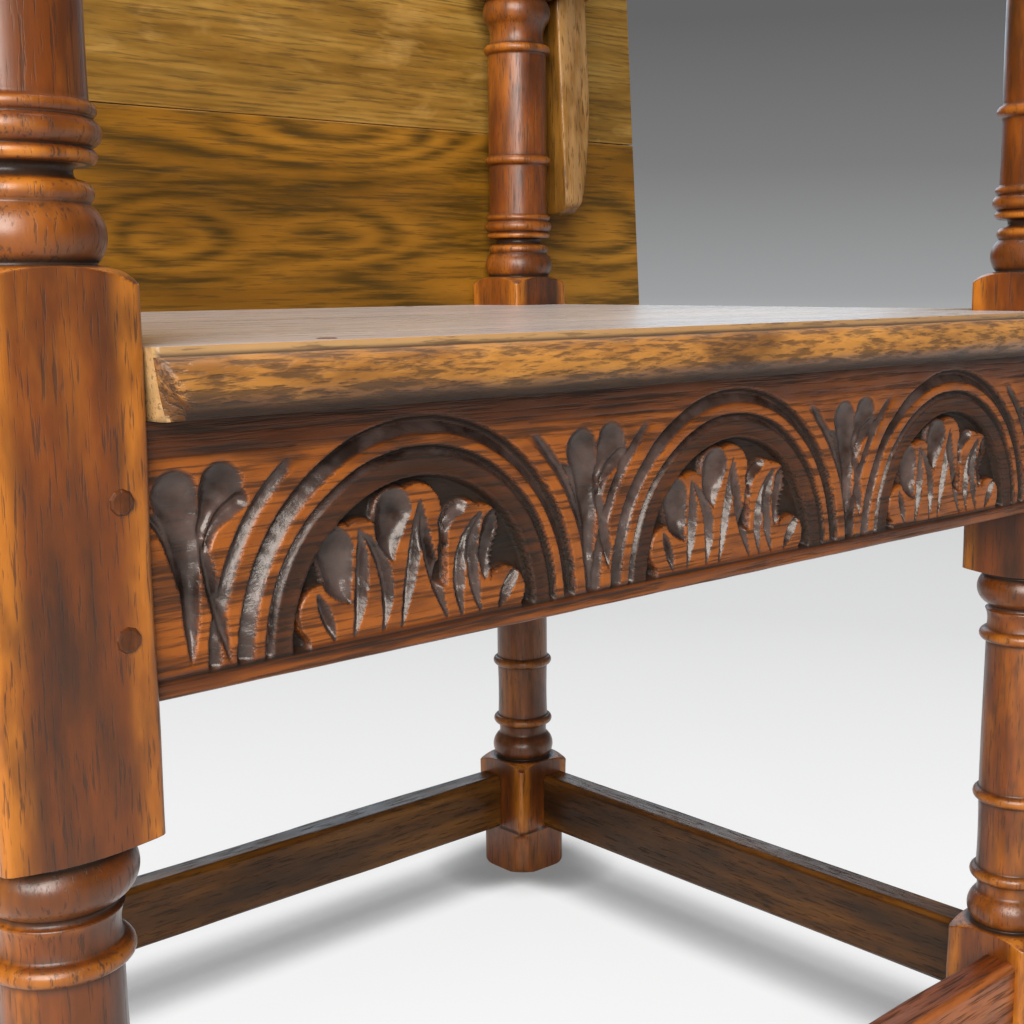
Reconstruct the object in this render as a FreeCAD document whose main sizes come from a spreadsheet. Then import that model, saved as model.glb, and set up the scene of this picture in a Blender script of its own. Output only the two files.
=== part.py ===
import FreeCAD, Part
import os
import re

from FreeCAD import Rotation, Vector

# Settle bench with a tilting top. X runs along the bench, Y from the sitter's front to the back and Z up.
# The origin is on the floor, midway between the four posts. All sizes are in millimetres.

SIZES = {
    # Base frame
    "base_width": (630, "over the outer faces of the left and right posts"),
    "base_depth": (480, "over the outer faces of the front and rear posts"),
    "post_square": (51, "side of the square blank that each post is turned from"),
    "foot_height": (33, "turned foot below the lowest square"),
    "foot_radius": (31, "radius that the corners of the foot are turned to"),
    "lower_block_top": (90, "top of the square that takes the stretchers"),
    "seat_block_bottom": (300, "bottom of the square that takes the seat rails"),
    "seat_block_top": (469, "top of the square that takes the seat rails"),
    "arm_block_bottom": (672, "bottom of the square under the arm"),
    "arm_underside": (708, "height of the underside of the arms"),
    "arm_thickness": (26, "thickness of the arms"),
    "arm_width": (54, "width of the arms"),
    "arm_overhang": (20, "arm in front of the front post"),
    "arm_arris": (5, "rounding of the long edges of the arm"),
    "arm_heel": (8, "rounding of the lower rear corner of the arm"),
    "pin_radius": (11, "round pin on the post that passes through the arm"),
    "pin_recess": (0.5, "room between the top of the pin and the arc that the top swings on"),
    # Rails, stretchers and their joints
    "rail_height": (86, "height of the seat rails and the carved apron"),
    "rail_thickness": (22, "thickness of the rails and the stretchers"),
    "rail_setback": (5, "face of a rail behind the faces of its posts"),
    "rail_arris": (0.8, "rounding of the lower edges of the rails"),
    "stretcher_bottom": (34, "height of the underside of the stretchers"),
    "stretcher_height": (43, "height of the stretchers"),
    "stretcher_arris": (4, "worn rounding of the top edges of the stretchers"),
    "tenon_thickness": (8, "thickness of the tenons"),
    "tenon_shoulder": (7, "shoulder above and below each tenon"),
    "tenon_web": (1.5, "wood left between two tenons that meet in a post"),
    "joint_gap": (0.1, "room around a tenon or pin in its hole"),
    "peg_radius": (4.2, "radius of the pegs through the joints"),
    "peg_inset": (10, "peg centre inside the inner edge of the post"),
    "peg_edge": (22.5, "peg centre from the upper or lower edge of a rail"),
    "peg_bite": (6, "peg beyond the tenon"),
    "peg_proud": (0.8, "peg head in front of the post"),
    # Seat
    "seat_top": (448, "height of the seat"),
    "seat_thickness": (22, "thickness of the seat boards"),
    "seat_inset": (2, "seat edge inside the outer faces at the sides and back"),
    "seat_fit": (0.5, "room between the seat boards and the posts"),
    "nosing_overhang": (12, "moulded front edge in front of the posts"),
    "nosing_quirk": (9, "flat top edge behind the foremost line of the nosing"),
    "quirk_depth": (3, "depth of the step above the nosing"),
    "nosing_corner": (5, "rounding of the ends of the nosing"),
    "seat_bearer_width": (40, "bearer under the seat from front to back"),
    "seat_bearer_height": (36, "height of that bearer"),
    "bearer_stub": (8, "stub tenon of that bearer"),
    "seat_peg_offset": (190, "seat pegs from the middle of the bench"),
    "seat_peg_depth": (20, "seat peg in the rail below"),
    # Tilting top
    "top_width": (904, "length of the boards of the top"),
    "top_depth": (720, "depth of the top as a table"),
    "top_thickness": (22, "thickness of the top"),
    "top_drop": (256, "lower edge of the upright top below the pivot"),
    "top_arris": (0.8, "rounding of the edges of the boards"),
    "stop_gap": (0.3, "room between the top and what it closes on"),
    "pivot_drop": (15.5, "pivot below the underside of the arms"),
    "pivot_radius": (8, "radius of the pivot pegs"),
    "pivot_depth": (38, "pivot peg inside the post"),
    "running_gap": (0.08, "room around a pivot peg in the bearer"),
    "knob_radius": (14, "radius of the head of a pivot peg"),
    "knob_length": (18, "length of the head of a pivot peg"),
    "bearer_depth": (56, "depth of the bearers below the top"),
    "bearer_thickness": (30, "thickness of the bearers"),
    "bearer_tip": (15, "thickness of the bearers at their ends"),
    "bearer_taper": (93, "length of the tapered ends of the bearers"),
    "bearer_inset": (79, "bearer end inside the edge of the top"),
    "bearer_nose": (11, "rounding of the ends of the bearers"),
    "bearer_gap": (0.5, "room between the bearers and the frame"),
    "top_peg_edge": (30, "peg centre from the edge of a board"),
    "top_peg_depth": (22, "peg in the bearer"),
    # Turned work, from the square below it to the square above it
    "square_shoulder": (9, "rounded shoulder of a square below turned work"),
    "small_shoulder": (3, "rounded shoulder of a square above turned work"),
    "bulb_height": (18.5, "bulb on the lowest square"),
    "bulb_radius": (23.8, "radius of the bulb"),
    "neck_height": (8, "hollow above the bulb"),
    "neck_radius": (18.5, "radius of the hollow above the bulb"),
    "ring_height": (7, "height of the thin rings"),
    "ring_radius": (23.1, "radius of the rings below the seat"),
    "belly_length": (41, "plain length between the lower rings"),
    "shaft_radius": (19.3, "radius of the shaft below the seat"),
    "cove_height": (14.5, "hollow under a torus"),
    "cove_radius": (18.6, "radius of the hollow below the seat"),
    "torus_height": (17.5, "height of the torus at a square"),
    "torus_radius": (25.3, "radius of the torus at a square"),
    "collar_height": (14.5, "deep hollow above the seat"),
    "collar_radius": (17.4, "radius of the deep hollow above the seat"),
    "bead_height": (9, "main bead above the deep hollow"),
    "bead_radius": (25.2, "radius of the main bead"),
    "fillet_height": (4.5, "small bead above the main bead"),
    "fillet_radius": (24, "radius of the small bead"),
    "short_shaft_length": (37, "plain length above the small bead"),
    "upper_shaft_radius": (21.9, "radius of the shaft above the seat"),
    "upper_ring_radius": (24.9, "radius of the rings above the seat"),
    "upper_cove_radius": (20, "radius of the hollow under the arm"),
}

DERIVED = {
    "post_line_x": "(base_width - post_square) / 2",
    "post_line_y": "(base_depth - post_square) / 2",
    "half_clear_x": "base_width / 2 - post_square",
    "half_clear_y": "base_depth / 2 - post_square",
    "rail_top": "seat_top - seat_thickness",
    "rail_bottom": "seat_top - seat_thickness - rail_height",
    "stretcher_top": "stretcher_bottom + stretcher_height",
    "tenon_line": "post_square / 2 - rail_setback - rail_thickness / 2",
    "tenon_length": "post_square - rail_setback - (rail_thickness + tenon_thickness) / 2 - tenon_web",
    "peg_line": "post_square / 2 - peg_inset",
    "peg_end": "peg_bite + tenon_thickness / 2 - tenon_line",
    "arm_top": "arm_underside + arm_thickness",
    "pivot_height": "arm_underside - pivot_drop",
    "pivot_reach": "pivot_drop + arm_thickness",
    "top_reach": "pivot_drop + arm_thickness + stop_gap",
    "pin_height": "sqrt((pivot_drop + arm_thickness) ^ 2 - pin_radius ^ 2) - pivot_drop - pin_recess",
    "board_width": "top_depth / 5",
    "bearer_inner": "max(base_width / 2; (base_width - post_square + arm_width) / 2) + bearer_gap",
    "bearer_low": "bearer_inset - top_drop",
    "bearer_high": "top_depth - top_drop - bearer_inset",
    "seat_front": "0 - base_depth / 2 - nosing_overhang",
    "seat_back": "base_depth / 2 - seat_inset",
    "seat_joint": "(0 - nosing_overhang - seat_inset) / 2",
}

BOARD_COUNT = 5
SIDES = {"left": -1, "right": 1}
ENDS = {"front": -1, "rear": 1}

document = FreeCAD.newDocument("settle_bench")
sheet = document.addObject("Spreadsheet::Sheet", "Sizes")
derived = document.addObject("App::VarSet", "Derived")
pieces = []


def formula(text):
    """Point each plain word of a formula at the cell or derived value of that name."""

    def with_owner(match):
        word = match.group(0)
        if word in SIZES:
            return "Sizes." + word
        if word in DERIVED:
            return "Derived." + word
        return word

    return re.sub(r"[a-z][a-z_]*", with_owner, text)


def bind(item, prop, text):
    item.setExpression(prop, formula(text))


def size(word):
    """Read a cell or a derived value as a number."""
    if word in SIZES:
        return float(sheet.get(word))
    return float(getattr(derived, word))


def fill_sheet():
    for row, (word, (value, meaning)) in enumerate(SIZES.items(), start=1):
        sheet.set(f"A{row}", meaning)
        sheet.set(f"B{row}", str(value))
        sheet.setAlias(f"B{row}", word)
    document.recompute()
    for word, text in DERIVED.items():
        derived.addProperty("App::PropertyFloat", word)
        bind(derived, word, text)
    document.recompute()


# Small helpers: each makes one feature whose sizes follow the sheet.


def new_body(label):
    body = document.addObject("PartDesign::Body", label)
    body.Label = label
    pieces.append(body)
    return body


def place(item, x, y, z):
    bind(item, "Placement.Base.x", x)
    bind(item, "Placement.Base.y", y)
    bind(item, "Placement.Base.z", z)


def block(body, name, x, y, z, cut=False):
    """A box between two planes on each axis, added to the body or cut from it."""
    kind = "PartDesign::SubtractiveBox" if cut else "PartDesign::AdditiveBox"
    box = body.newObject(kind, name)
    bind(box, "Length", f"({x[1]}) - ({x[0]})")
    bind(box, "Width", f"({y[1]}) - ({y[0]})")
    bind(box, "Height", f"({z[1]}) - ({z[0]})")
    place(box, x[0], y[0], z[0])
    return box


def round_bar(body, name, start, axis, length, radius, cut=False):
    """A cylinder from a start point along an axis, added to the body or cut from it."""
    kind = "PartDesign::SubtractiveCylinder" if cut else "PartDesign::AdditiveCylinder"
    bar = body.newObject(kind, name)
    bar.Placement.Rotation = Rotation(Vector(0, 0, 1), axis)
    bind(bar, "Height", length)
    bind(bar, "Radius", radius)
    place(bar, *start)
    return bar


def plane_of(body, role):
    for feature in body.Origin.OriginFeatures:
        if feature.Role == role:
            return feature
    raise ValueError(role)


def new_sketch(body, name, role, curves):
    sketch = body.newObject("Sketcher::SketchObject", name)
    sketch.AttachmentSupport = (plane_of(body, role), [""])
    sketch.MapMode = "FlatFace"
    for curve in curves:
        sketch.addGeometry(curve, False)
    return sketch


def closed_polyline(points):
    """Edges of a closed outline; an item of two points is an arc through the first to the second."""
    curves = []
    here = points[0]
    for item in points[1:] + [points[0]]:
        if isinstance(item[0], tuple):
            through, there = item
            curves.append(Part.Arc(Vector(*here, 0), Vector(*through, 0), Vector(*there, 0)))
        else:
            there = item
            curves.append(Part.LineSegment(Vector(*here, 0), Vector(*there, 0)))
        here = there
    return curves


def straight_edges(shape, axis, keep):
    """Names of the straight edges along an axis whose middle point passes the test."""
    names = []
    for number, edge in enumerate(shape.Edges, start=1):
        if edge.Curve.TypeId != "Part::GeomLine":
            continue
        direction = edge.Curve.Direction
        middle = edge.CenterOfMass
        if abs(direction.dot(axis)) > 0.999 and keep(middle):
            names.append(f"Edge{number}")
    return names


def round_edges(body, name, axis, radius, keep):
    """Fillet the straight edges of the body's last feature that the test picks."""
    document.recompute()
    base = body.Tip
    names = straight_edges(base.Shape, axis, keep)
    fillet = body.newObject("PartDesign::Fillet", name)
    fillet.Base = (base, names)
    bind(fillet, "Radius", radius)
    return fillet


X_AXIS = Vector(1, 0, 0)
Y_AXIS = Vector(0, 1, 0)
Z_AXIS = Vector(0, 0, 1)


# Posts: a square blank whose plain lengths are turned, so that the squares keep rounded shoulders.


class Turning:
    """Outline of the waste that the turner takes off between two squares of a post."""

    def __init__(self, low, high):
        self.outside = 0.75 * size("post_square")
        self.high = high
        self.points = [(self.outside, low - size("square_shoulder"))]
        self.height = low
        self.radius = 0

    def to(self, radius, height):
        self.points.append((radius, height))
        self.radius = radius
        self.height = height

    def curve(self, height, crest, end):
        """A bead or hollow: an arc whose middle has the crest's radius."""
        middle = (crest, self.height + height / 2)
        finish = (end, self.height + height)
        self.points.append((middle, finish))
        self.height += height
        self.radius = end

    def shoulder_up(self, radius):
        """The rounded shoulder of the square below."""
        half_square = size("post_square") / 2
        rise = size("square_shoulder")
        middle = (half_square + rise * 0.5, self.height - rise * 0.25)
        self.points.append((middle, (radius, self.height)))
        self.radius = radius

    def shoulder_down(self):
        """The flat shoulder and small round of the square above."""
        rise = size("small_shoulder")
        self.to(size("post_square") / 2 - rise, self.high)
        middle = (size("post_square") / 2 + rise, self.high + rise * 0.4)
        self.points.append((middle, (self.outside, self.high + rise)))


def foot_waste():
    outside = 0.75 * size("post_square")
    radius = size("foot_radius")
    top = size("foot_height")
    edge = 3.5
    flare = 5
    return [
        (outside, -1),
        (radius - edge, -1),
        (radius - edge, 0),
        ((radius - edge * 0.3, edge * 0.3), (radius, edge)),
        (radius, top - flare),
        ((radius + flare * 0.3, top - flare * 0.3), (outside, top)),
    ]


def lower_waste():
    turning = Turning(size("lower_block_top"), size("seat_block_bottom"))
    shaft = size("shaft_radius")
    ring = size("ring_radius")
    turning.shoulder_up(shaft + 1)
    turning.curve(size("bulb_height"), size("bulb_radius"), size("neck_radius") + 0.4)
    turning.curve(size("neck_height"), size("neck_radius"), shaft + 0.3)
    turning.curve(size("ring_height"), ring, shaft + 0.3)
    turning.curve(size("belly_length"), shaft - 0.1, shaft + 0.4)
    turning.curve(size("ring_height"), ring, shaft + 0.5)
    top_group = size("ring_height") + size("cove_height") + size("torus_height") + 1
    shaft_length = turning.high - top_group - turning.height
    turning.curve(shaft_length, shaft + 0.3, shaft - 0.2)
    turning.curve(size("ring_height"), ring, size("cove_radius") + 0.8)
    turning.curve(size("cove_height"), size("cove_radius"), size("cove_radius") + 2.4)
    turning.curve(size("torus_height"), size("torus_radius"), size("cove_radius") + 2.4)
    turning.shoulder_down()
    return turning.points


def upper_waste():
    turning = Turning(size("seat_block_top"), size("arm_block_bottom"))
    shaft = size("upper_shaft_radius")
    ring = size("upper_ring_radius")
    turning.shoulder_up(shaft)
    turning.curve(size("torus_height"), size("torus_radius"), shaft - 0.9)
    turning.curve(size("collar_height"), size("collar_radius"), shaft - 1.4)
    turning.curve(size("bead_height"), size("bead_radius"), shaft + 0.6)
    turning.curve(size("fillet_height"), size("fillet_radius"), shaft + 0.2)
    turning.curve(size("short_shaft_length"), shaft - 0.1, shaft)
    turning.curve(size("ring_height"), ring, shaft)
    top_group = size("ring_height") + size("cove_height") + size("torus_height") + 1
    shaft_length = turning.high - top_group - turning.height
    turning.curve(shaft_length, shaft + 0.2, shaft)
    turning.curve(size("ring_height"), ring, size("upper_cove_radius") + 1)
    turning.curve(size("cove_height"), size("upper_cove_radius"), size("upper_cove_radius") + 2)
    turning.curve(size("torus_height"), size("torus_radius"), size("upper_cove_radius") + 2)
    turning.shoulder_down()
    return turning.points


def turn(body, name, waste):
    sketch = new_sketch(body, name + "_outline", "XZ_Plane", closed_polyline(waste))
    groove = body.newObject("PartDesign::Groove", name)
    groove.Profile = sketch
    groove.ReferenceAxis = (sketch, ["V_Axis"])
    groove.Angle = 360
    sketch.Visibility = False


def facing(span, sign):
    """Turn a span that is measured inwards from the post's axis into one along the world axis."""
    low, high = span
    if sign < 0:
        return (low, high)
    return (f"0 - ({high})", f"0 - ({low})")


TENON_SPAN = ("post_square / 2 - tenon_length - 1", "post_square / 2 + 1")
TENON_SIDE = (
    "0 - tenon_line - tenon_thickness / 2 - joint_gap",
    "0 - tenon_line + tenon_thickness / 2 + joint_gap",
)
RAIL_TENON = ("rail_bottom + tenon_shoulder", "rail_top - tenon_shoulder")
STRETCHER_TENON = ("stretcher_bottom + tenon_shoulder", "stretcher_top - tenon_shoulder")
RAIL_PEGS = ("rail_bottom + peg_edge", "rail_top - peg_edge")
STRETCHER_PEGS = ("stretcher_bottom + stretcher_height / 2",)


def peg_hole(body, name, along, side_x, side_y, height):
    """A peg hole in a post from its outer face: along Y for the rails along X, and the other way about."""
    length = "post_square / 2 + peg_end"
    radius = "peg_radius + joint_gap / 2"
    if along == "X":
        start = (f"{-side_x} * peg_line", f"{side_y} * post_square / 2", height)
        axis = Vector(0, -side_y, 0)
    else:
        start = (f"{side_x} * post_square / 2", f"{-side_y} * peg_line", height)
        axis = Vector(-side_x, 0, 0)
    round_bar(body, name, start, axis, length, radius, cut=True)


def make_post(end, side):
    side_x = SIDES[side]
    side_y = ENDS[end]
    body = new_body(f"{end}_{side}_post")
    half = "post_square / 2"
    block(body, "Blank", (f"0 - {half}", half), (f"0 - {half}", half), ("0", "arm_underside"))
    turn(body, "FootTurning", foot_waste())
    turn(body, "LowerTurning", lower_waste())
    turn(body, "UpperTurning", upper_waste())
    for name, (low, high) in {"Rail": RAIL_TENON, "Stretcher": STRETCHER_TENON}.items():
        heights = (f"{low} - joint_gap", f"{high} + joint_gap")
        along_x = (facing(TENON_SPAN, side_x), facing(TENON_SIDE, side_y))
        along_y = (facing(TENON_SIDE, side_x), facing(TENON_SPAN, side_y))
        block(body, name + "MortiseX", *along_x, heights, cut=True)
        block(body, name + "MortiseY", *along_y, heights, cut=True)
    for along in ("X", "Y"):
        for number, height in enumerate(RAIL_PEGS + STRETCHER_PEGS):
            peg_hole(body, f"PegHole{along}{number}", along, side_x, side_y, height)
    if end == "rear":
        start = (f"{side_x} * ({half} - pivot_depth - 1)", "0", "pivot_height")
        length = "pivot_depth + 2"
        round_bar(body, "PivotHole", start, X_AXIS * side_x, length, "pivot_radius + joint_gap / 2", cut=True)
    round_bar(body, "Pin", ("0", "0", "arm_underside"), Z_AXIS, "pin_height", "pin_radius")
    place(body, f"{side_x} * post_line_x", f"{side_y} * post_line_y", "0")


# Rails and stretchers: boards with a shouldered tenon at each end, pegged through the posts.


def make_rail(label, along, side, heights, tenon, pegs):
    """A rail along X or Y on one side of the frame, with one tenon bar through its whole length."""
    body = new_body(label)
    half_clear = "half_clear_x" if along == "X" else "half_clear_y"
    post_line = "post_line_y" if along == "X" else "post_line_x"
    middle = f"{side} * ({post_line} + tenon_line)"
    run = (f"0 - {half_clear}", half_clear)
    tenon_run = (f"0 - {half_clear} - tenon_length", f"{half_clear} + tenon_length")
    faces = (f"{middle} - rail_thickness / 2", f"{middle} + rail_thickness / 2")
    cheeks = (f"{middle} - tenon_thickness / 2", f"{middle} + tenon_thickness / 2")
    if along == "X":
        block(body, "Board", run, faces, heights)
        block(body, "Tenons", tenon_run, cheeks, tenon)
    else:
        block(body, "Board", faces, run, heights)
        block(body, "Tenons", cheeks, tenon_run, tenon)
    for end in (-1, 1):
        for number, height in enumerate(pegs):
            peg_along = f"{end} * ({half_clear} + peg_inset)"
            start_across = f"{middle} - tenon_thickness"
            name = f"PegHole{end + 1}{number}"
            if along == "X":
                start, axis = (peg_along, start_across, height), Y_AXIS
            else:
                start, axis = (start_across, peg_along, height), X_AXIS
            round_bar(body, name, start, axis, "2 * tenon_thickness", "peg_radius + joint_gap / 2", cut=True)
    return body


def make_seat_rail(label, along, side):
    body = make_rail(label, along, side, ("rail_bottom", "rail_top"), RAIL_TENON, RAIL_PEGS)
    if along == "X":
        half_width = "(seat_bearer_width / 2 + joint_gap)"
        inner = f"{side} * (post_line_y + tenon_line - rail_thickness / 2)"
        stub = f"{inner} + {side} * (bearer_stub + joint_gap)"
        across = (inner, stub) if side > 0 else (stub, inner)
        heights = ("rail_top - seat_bearer_height - joint_gap", "rail_top - tenon_shoulder + joint_gap")
        block(body, "BearerMortise", (f"0 - {half_width}", half_width), across, heights, cut=True)
        across_peg = f"{side} * (post_line_y + tenon_line)"
        for half in (-1, 1):
            start = (f"{half} * seat_peg_offset", across_peg, "rail_top - seat_peg_depth")
            round_bar(body, f"SeatPegHole{half + 1}", start, Z_AXIS, "seat_peg_depth + 1",
                      "peg_radius + joint_gap / 2", cut=True)
    low = size("rail_bottom")
    axis = X_AXIS if along == "X" else Y_AXIS
    round_edges(body, "LowerArris", axis, "rail_arris", lambda point: abs(point.z - low) < 0.01)


def make_stretcher(label, along, side):
    heights = ("stretcher_bottom", "stretcher_top")
    body = make_rail(label, along, side, heights, STRETCHER_TENON, STRETCHER_PEGS)
    low = size("stretcher_bottom")
    high = size("stretcher_top")
    axis = X_AXIS if along == "X" else Y_AXIS
    round_edges(body, "TopArris", axis, "stretcher_arris", lambda point: abs(point.z - high) < 0.01)
    round_edges(body, "LowerArris", axis, "rail_arris", lambda point: abs(point.z - low) < 0.01)


def peg_group(label, pegs):
    """Separate pegs under one name: each is a start point, an axis, a length and a radius."""
    bars = []
    for number, (start, axis, length, radius) in enumerate(pegs):
        bar = document.addObject("Part::Cylinder", f"{label}_{number}")
        bar.Placement.Rotation = Rotation(Z_AXIS, axis)
        bind(bar, "Height", length)
        bind(bar, "Radius", radius)
        place(bar, *start)
        bars.append(bar)
    group = document.addObject("Part::Compound", label)
    group.Label = label
    group.Links = bars
    pieces.append(group)
    return group


def joint_peg(along, side_x, side_y, height):
    length = "peg_proud + post_square / 2 + peg_end"
    if along == "X":
        start = (f"{side_x} * (half_clear_x + peg_inset)", f"{side_y} * (base_depth / 2 + peg_proud)", height)
        axis = Vector(0, -side_y, 0)
    else:
        start = (f"{side_x} * (base_width / 2 + peg_proud)", f"{side_y} * (half_clear_y + peg_inset)", height)
        axis = Vector(-side_x, 0, 0)
    return (start, axis, length, "peg_radius")


def make_joint_pegs():
    rows = {
        "front_apron_pegs": [("X", side, -1) for side in (-1, 1)],
        "rear_rail_pegs": [("X", side, 1) for side in (-1, 1)],
        "left_rail_pegs": [("Y", -1, end) for end in (-1, 1)],
        "right_rail_pegs": [("Y", 1, end) for end in (-1, 1)],
    }
    for label, corners in rows.items():
        peg_group(label, [joint_peg(*corner, height) for corner in corners for height in RAIL_PEGS])
    corners = [corner for row in rows.values() for corner in row]
    peg_group("stretcher_pegs", [joint_peg(*corner, STRETCHER_PEGS[0]) for corner in corners])


# Seat: two boards with the grain along the bench, notched round the posts, on the rails and one bearer.


def nosing_waste():
    """What is planed off the front edge: a step, then a full round and a small undercut."""
    front = size("seat_front")
    top = size("seat_top")
    bottom = top - size("seat_thickness")
    quirk = front + size("nosing_quirk")
    step = top - size("quirk_depth")
    nose = top - 0.6 * size("seat_thickness")
    return [
        (front - 2, top + 1),
        (quirk, top + 1),
        (quirk, step),
        ((front + 0.24 * size("nosing_quirk"), (step + nose) / 2 + 1.5), (front, nose)),
        ((front + 0.8, (nose + bottom) / 2 - 1), (front + 4, bottom)),
        (front + 4, bottom - 1),
        (front - 2, bottom - 1),
    ]


def seat_peg_holes(body, side):
    for half in (-1, 1):
        start = (f"{half} * seat_peg_offset", f"{side} * (post_line_y + tenon_line)", "rail_top - 1")
        round_bar(body, f"PegHole{half + 1}", start, Z_AXIS, "seat_thickness + 2",
                  "peg_radius + joint_gap / 2", cut=True)


def seat_notches(body, across):
    inner = "half_clear_x - seat_fit"
    outer = "base_width / 2 + 1"
    heights = ("rail_top - 1", "seat_top + 1")
    block(body, "LeftNotch", (f"0 - ({outer})", f"0 - ({inner})"), across, heights, cut=True)
    block(body, "RightNotch", (inner, outer), across, heights, cut=True)


def make_seat():
    half_width = "base_width / 2 - seat_inset"
    run = (f"0 - ({half_width})", half_width)
    heights = ("rail_top", "seat_top")

    front = new_body("seat_front_board")
    block(front, "Board", run, ("seat_front", "seat_joint"), heights)
    seat_notches(front, ("seat_front - 1", "0 - half_clear_y + seat_fit"))
    edge = size("seat_front")
    round_edges(front, "NosingEnds", Z_AXIS, "nosing_corner", lambda point: abs(point.y - edge) < 0.01)
    sketch = new_sketch(front, "NosingOutline", "YZ_Plane", closed_polyline(nosing_waste()))
    nosing = front.newObject("PartDesign::Pocket", "Nosing")
    nosing.Profile = sketch
    nosing.Type = "ThroughAll"
    nosing.Midplane = True
    sketch.Visibility = False
    seat_peg_holes(front, -1)

    rear = new_body("seat_rear_board")
    block(rear, "Board", run, ("seat_joint", "seat_back"), heights)
    seat_notches(rear, ("half_clear_y - seat_fit", "seat_back + 1"))
    seat_peg_holes(rear, 1)

    bearer = new_body("seat_bearer")
    half = "seat_bearer_width / 2"
    reach = "post_line_y + tenon_line - rail_thickness / 2"
    stub = f"{reach} + bearer_stub"
    bottom = "rail_top - seat_bearer_height"
    block(bearer, "Bar", (f"0 - {half}", half), (f"0 - ({reach})", reach), (bottom, "rail_top"))
    block(bearer, "Stubs", (f"0 - {half}", half), (f"0 - ({stub})", stub),
          (bottom, "rail_top - tenon_shoulder"))

    pegs = []
    for side in (-1, 1):
        across_peg = f"{side} * (post_line_y + tenon_line)"
        for half in (-1, 1):
            start = (f"{half} * seat_peg_offset", across_peg, "rail_top - seat_peg_depth")
            pegs.append((start, Z_AXIS, "seat_peg_depth + seat_thickness", "peg_radius"))
    peg_group("seat_pegs", pegs)


# Arms: flat boards with a round nose in front. Their rear end is an arc about the pivot, so that the
# top can swing.


def arm_profile():
    front = 0 - size("base_depth") / 2 - size("arm_overhang")
    low = size("arm_underside")
    high = size("arm_top")
    pivot_y = size("post_line_y")
    drop = size("pivot_drop")
    reach = size("pivot_reach")
    half_chord = (reach ** 2 - drop ** 2) ** 0.5
    blend = (reach * (reach + drop) / 2) ** 0.5
    middle = ((reach ** 2 - blend ** 2) ** 0.5, blend)
    nose = size("arm_thickness") / 2
    return [
        (front + nose, low),
        ((front, low + nose), (front + nose, high)),
        (pivot_y, high),
        ((pivot_y + middle[0], low - drop + middle[1]), (pivot_y + half_chord, low)),
    ]


def make_arm(side):
    body = new_body(f"{side}_arm")
    sketch = new_sketch(body, "SideOutline", "YZ_Plane", closed_polyline(arm_profile()))
    pad = body.newObject("PartDesign::Pad", "Board")
    pad.Profile = sketch
    pad.Midplane = True
    bind(pad, "Length", "arm_width")
    sketch.Visibility = False
    heel = size("arm_underside") + 0.01
    round_edges(body, "Heel", X_AXIS, "arm_heel", lambda point: point.y > 0 and point.z < heel)
    round_edges(body, "LongArrises", Y_AXIS, "arm_arris", lambda point: abs(point.x) > 1)
    for end in (-1, 1):
        start = ("0", f"{end} * post_line_y", "arm_underside - 1")
        round_bar(body, f"PinHole{end + 1}", start, Z_AXIS, "arm_thickness + 2",
                  "pin_radius + joint_gap / 2", cut=True)
    bind(body, "Placement.Base.x", f"{SIDES[side]} * post_line_x")


# Top: five boards on two bearers. It is made in its own frame, with the pivot as the origin, Z up the
# boards and Y through them, and then leans back until its lower edge meets the rear posts.


def lean(item, x="0"):
    """Set a piece of the top on the pivot at the angle at which it rests against the posts."""
    touch = "post_square / 2 + stop_gap"
    hypotenuse = "sqrt(top_reach ^ 2 + top_drop ^ 2)"
    angle = f"acos(({touch}) / {hypotenuse}) - atan(top_drop / top_reach)"
    item.Placement.Rotation = Rotation(X_AXIS, -1)
    bind(item, "Placement.Rotation.Angle", f"0 deg - ({angle})")
    place(item, x, "post_line_y", "pivot_height")


def top_peg_heights(number):
    """Peg heights of one board, and the end boards have only the peg that the bearer reaches."""
    low = f"{number} * board_width - top_drop + top_peg_edge"
    high = f"{number + 1} * board_width - top_drop - top_peg_edge"
    if number == 0:
        return (high,)
    if number == BOARD_COUNT - 1:
        return (low,)
    return (low, high)


def make_top_board(number):
    body = new_body(f"top_board_{number + 1}")
    half_width = "top_width / 2"
    faces = ("top_reach", "top_reach + top_thickness")
    heights = (f"{number} * board_width - top_drop", f"{number + 1} * board_width - top_drop")
    block(body, "Board", (f"0 - {half_width}", half_width), faces, heights)
    round_edges(body, "LongArrises", X_AXIS, "top_arris", lambda point: True)
    for side in (-1, 1):
        for row, height in enumerate(top_peg_heights(number)):
            start = (f"{side} * (bearer_inner + bearer_tip / 2)", "top_reach - 1", height)
            round_bar(body, f"PegHole{side + 1}{row}", start, Y_AXIS, "top_thickness + 2",
                      "peg_radius + joint_gap / 2", cut=True)
    lean(body)


def bearer_outline():
    """The bearer seen from the sitter's side: straight inside, tapered by an arc to each end outside."""
    inner = size("bearer_inner")
    outer = inner + size("bearer_thickness")
    tip = inner + size("bearer_tip")
    low = size("bearer_low")
    high = size("bearer_high")
    taper = size("bearer_taper")
    bulge = 0.74 * (outer - tip)
    return [
        (inner, low),
        (tip, low),
        ((tip + bulge, low + taper / 2), (outer, low + taper)),
        (outer, high - taper),
        ((tip + bulge, high - taper / 2), (tip, high)),
        (inner, high),
    ]


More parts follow.
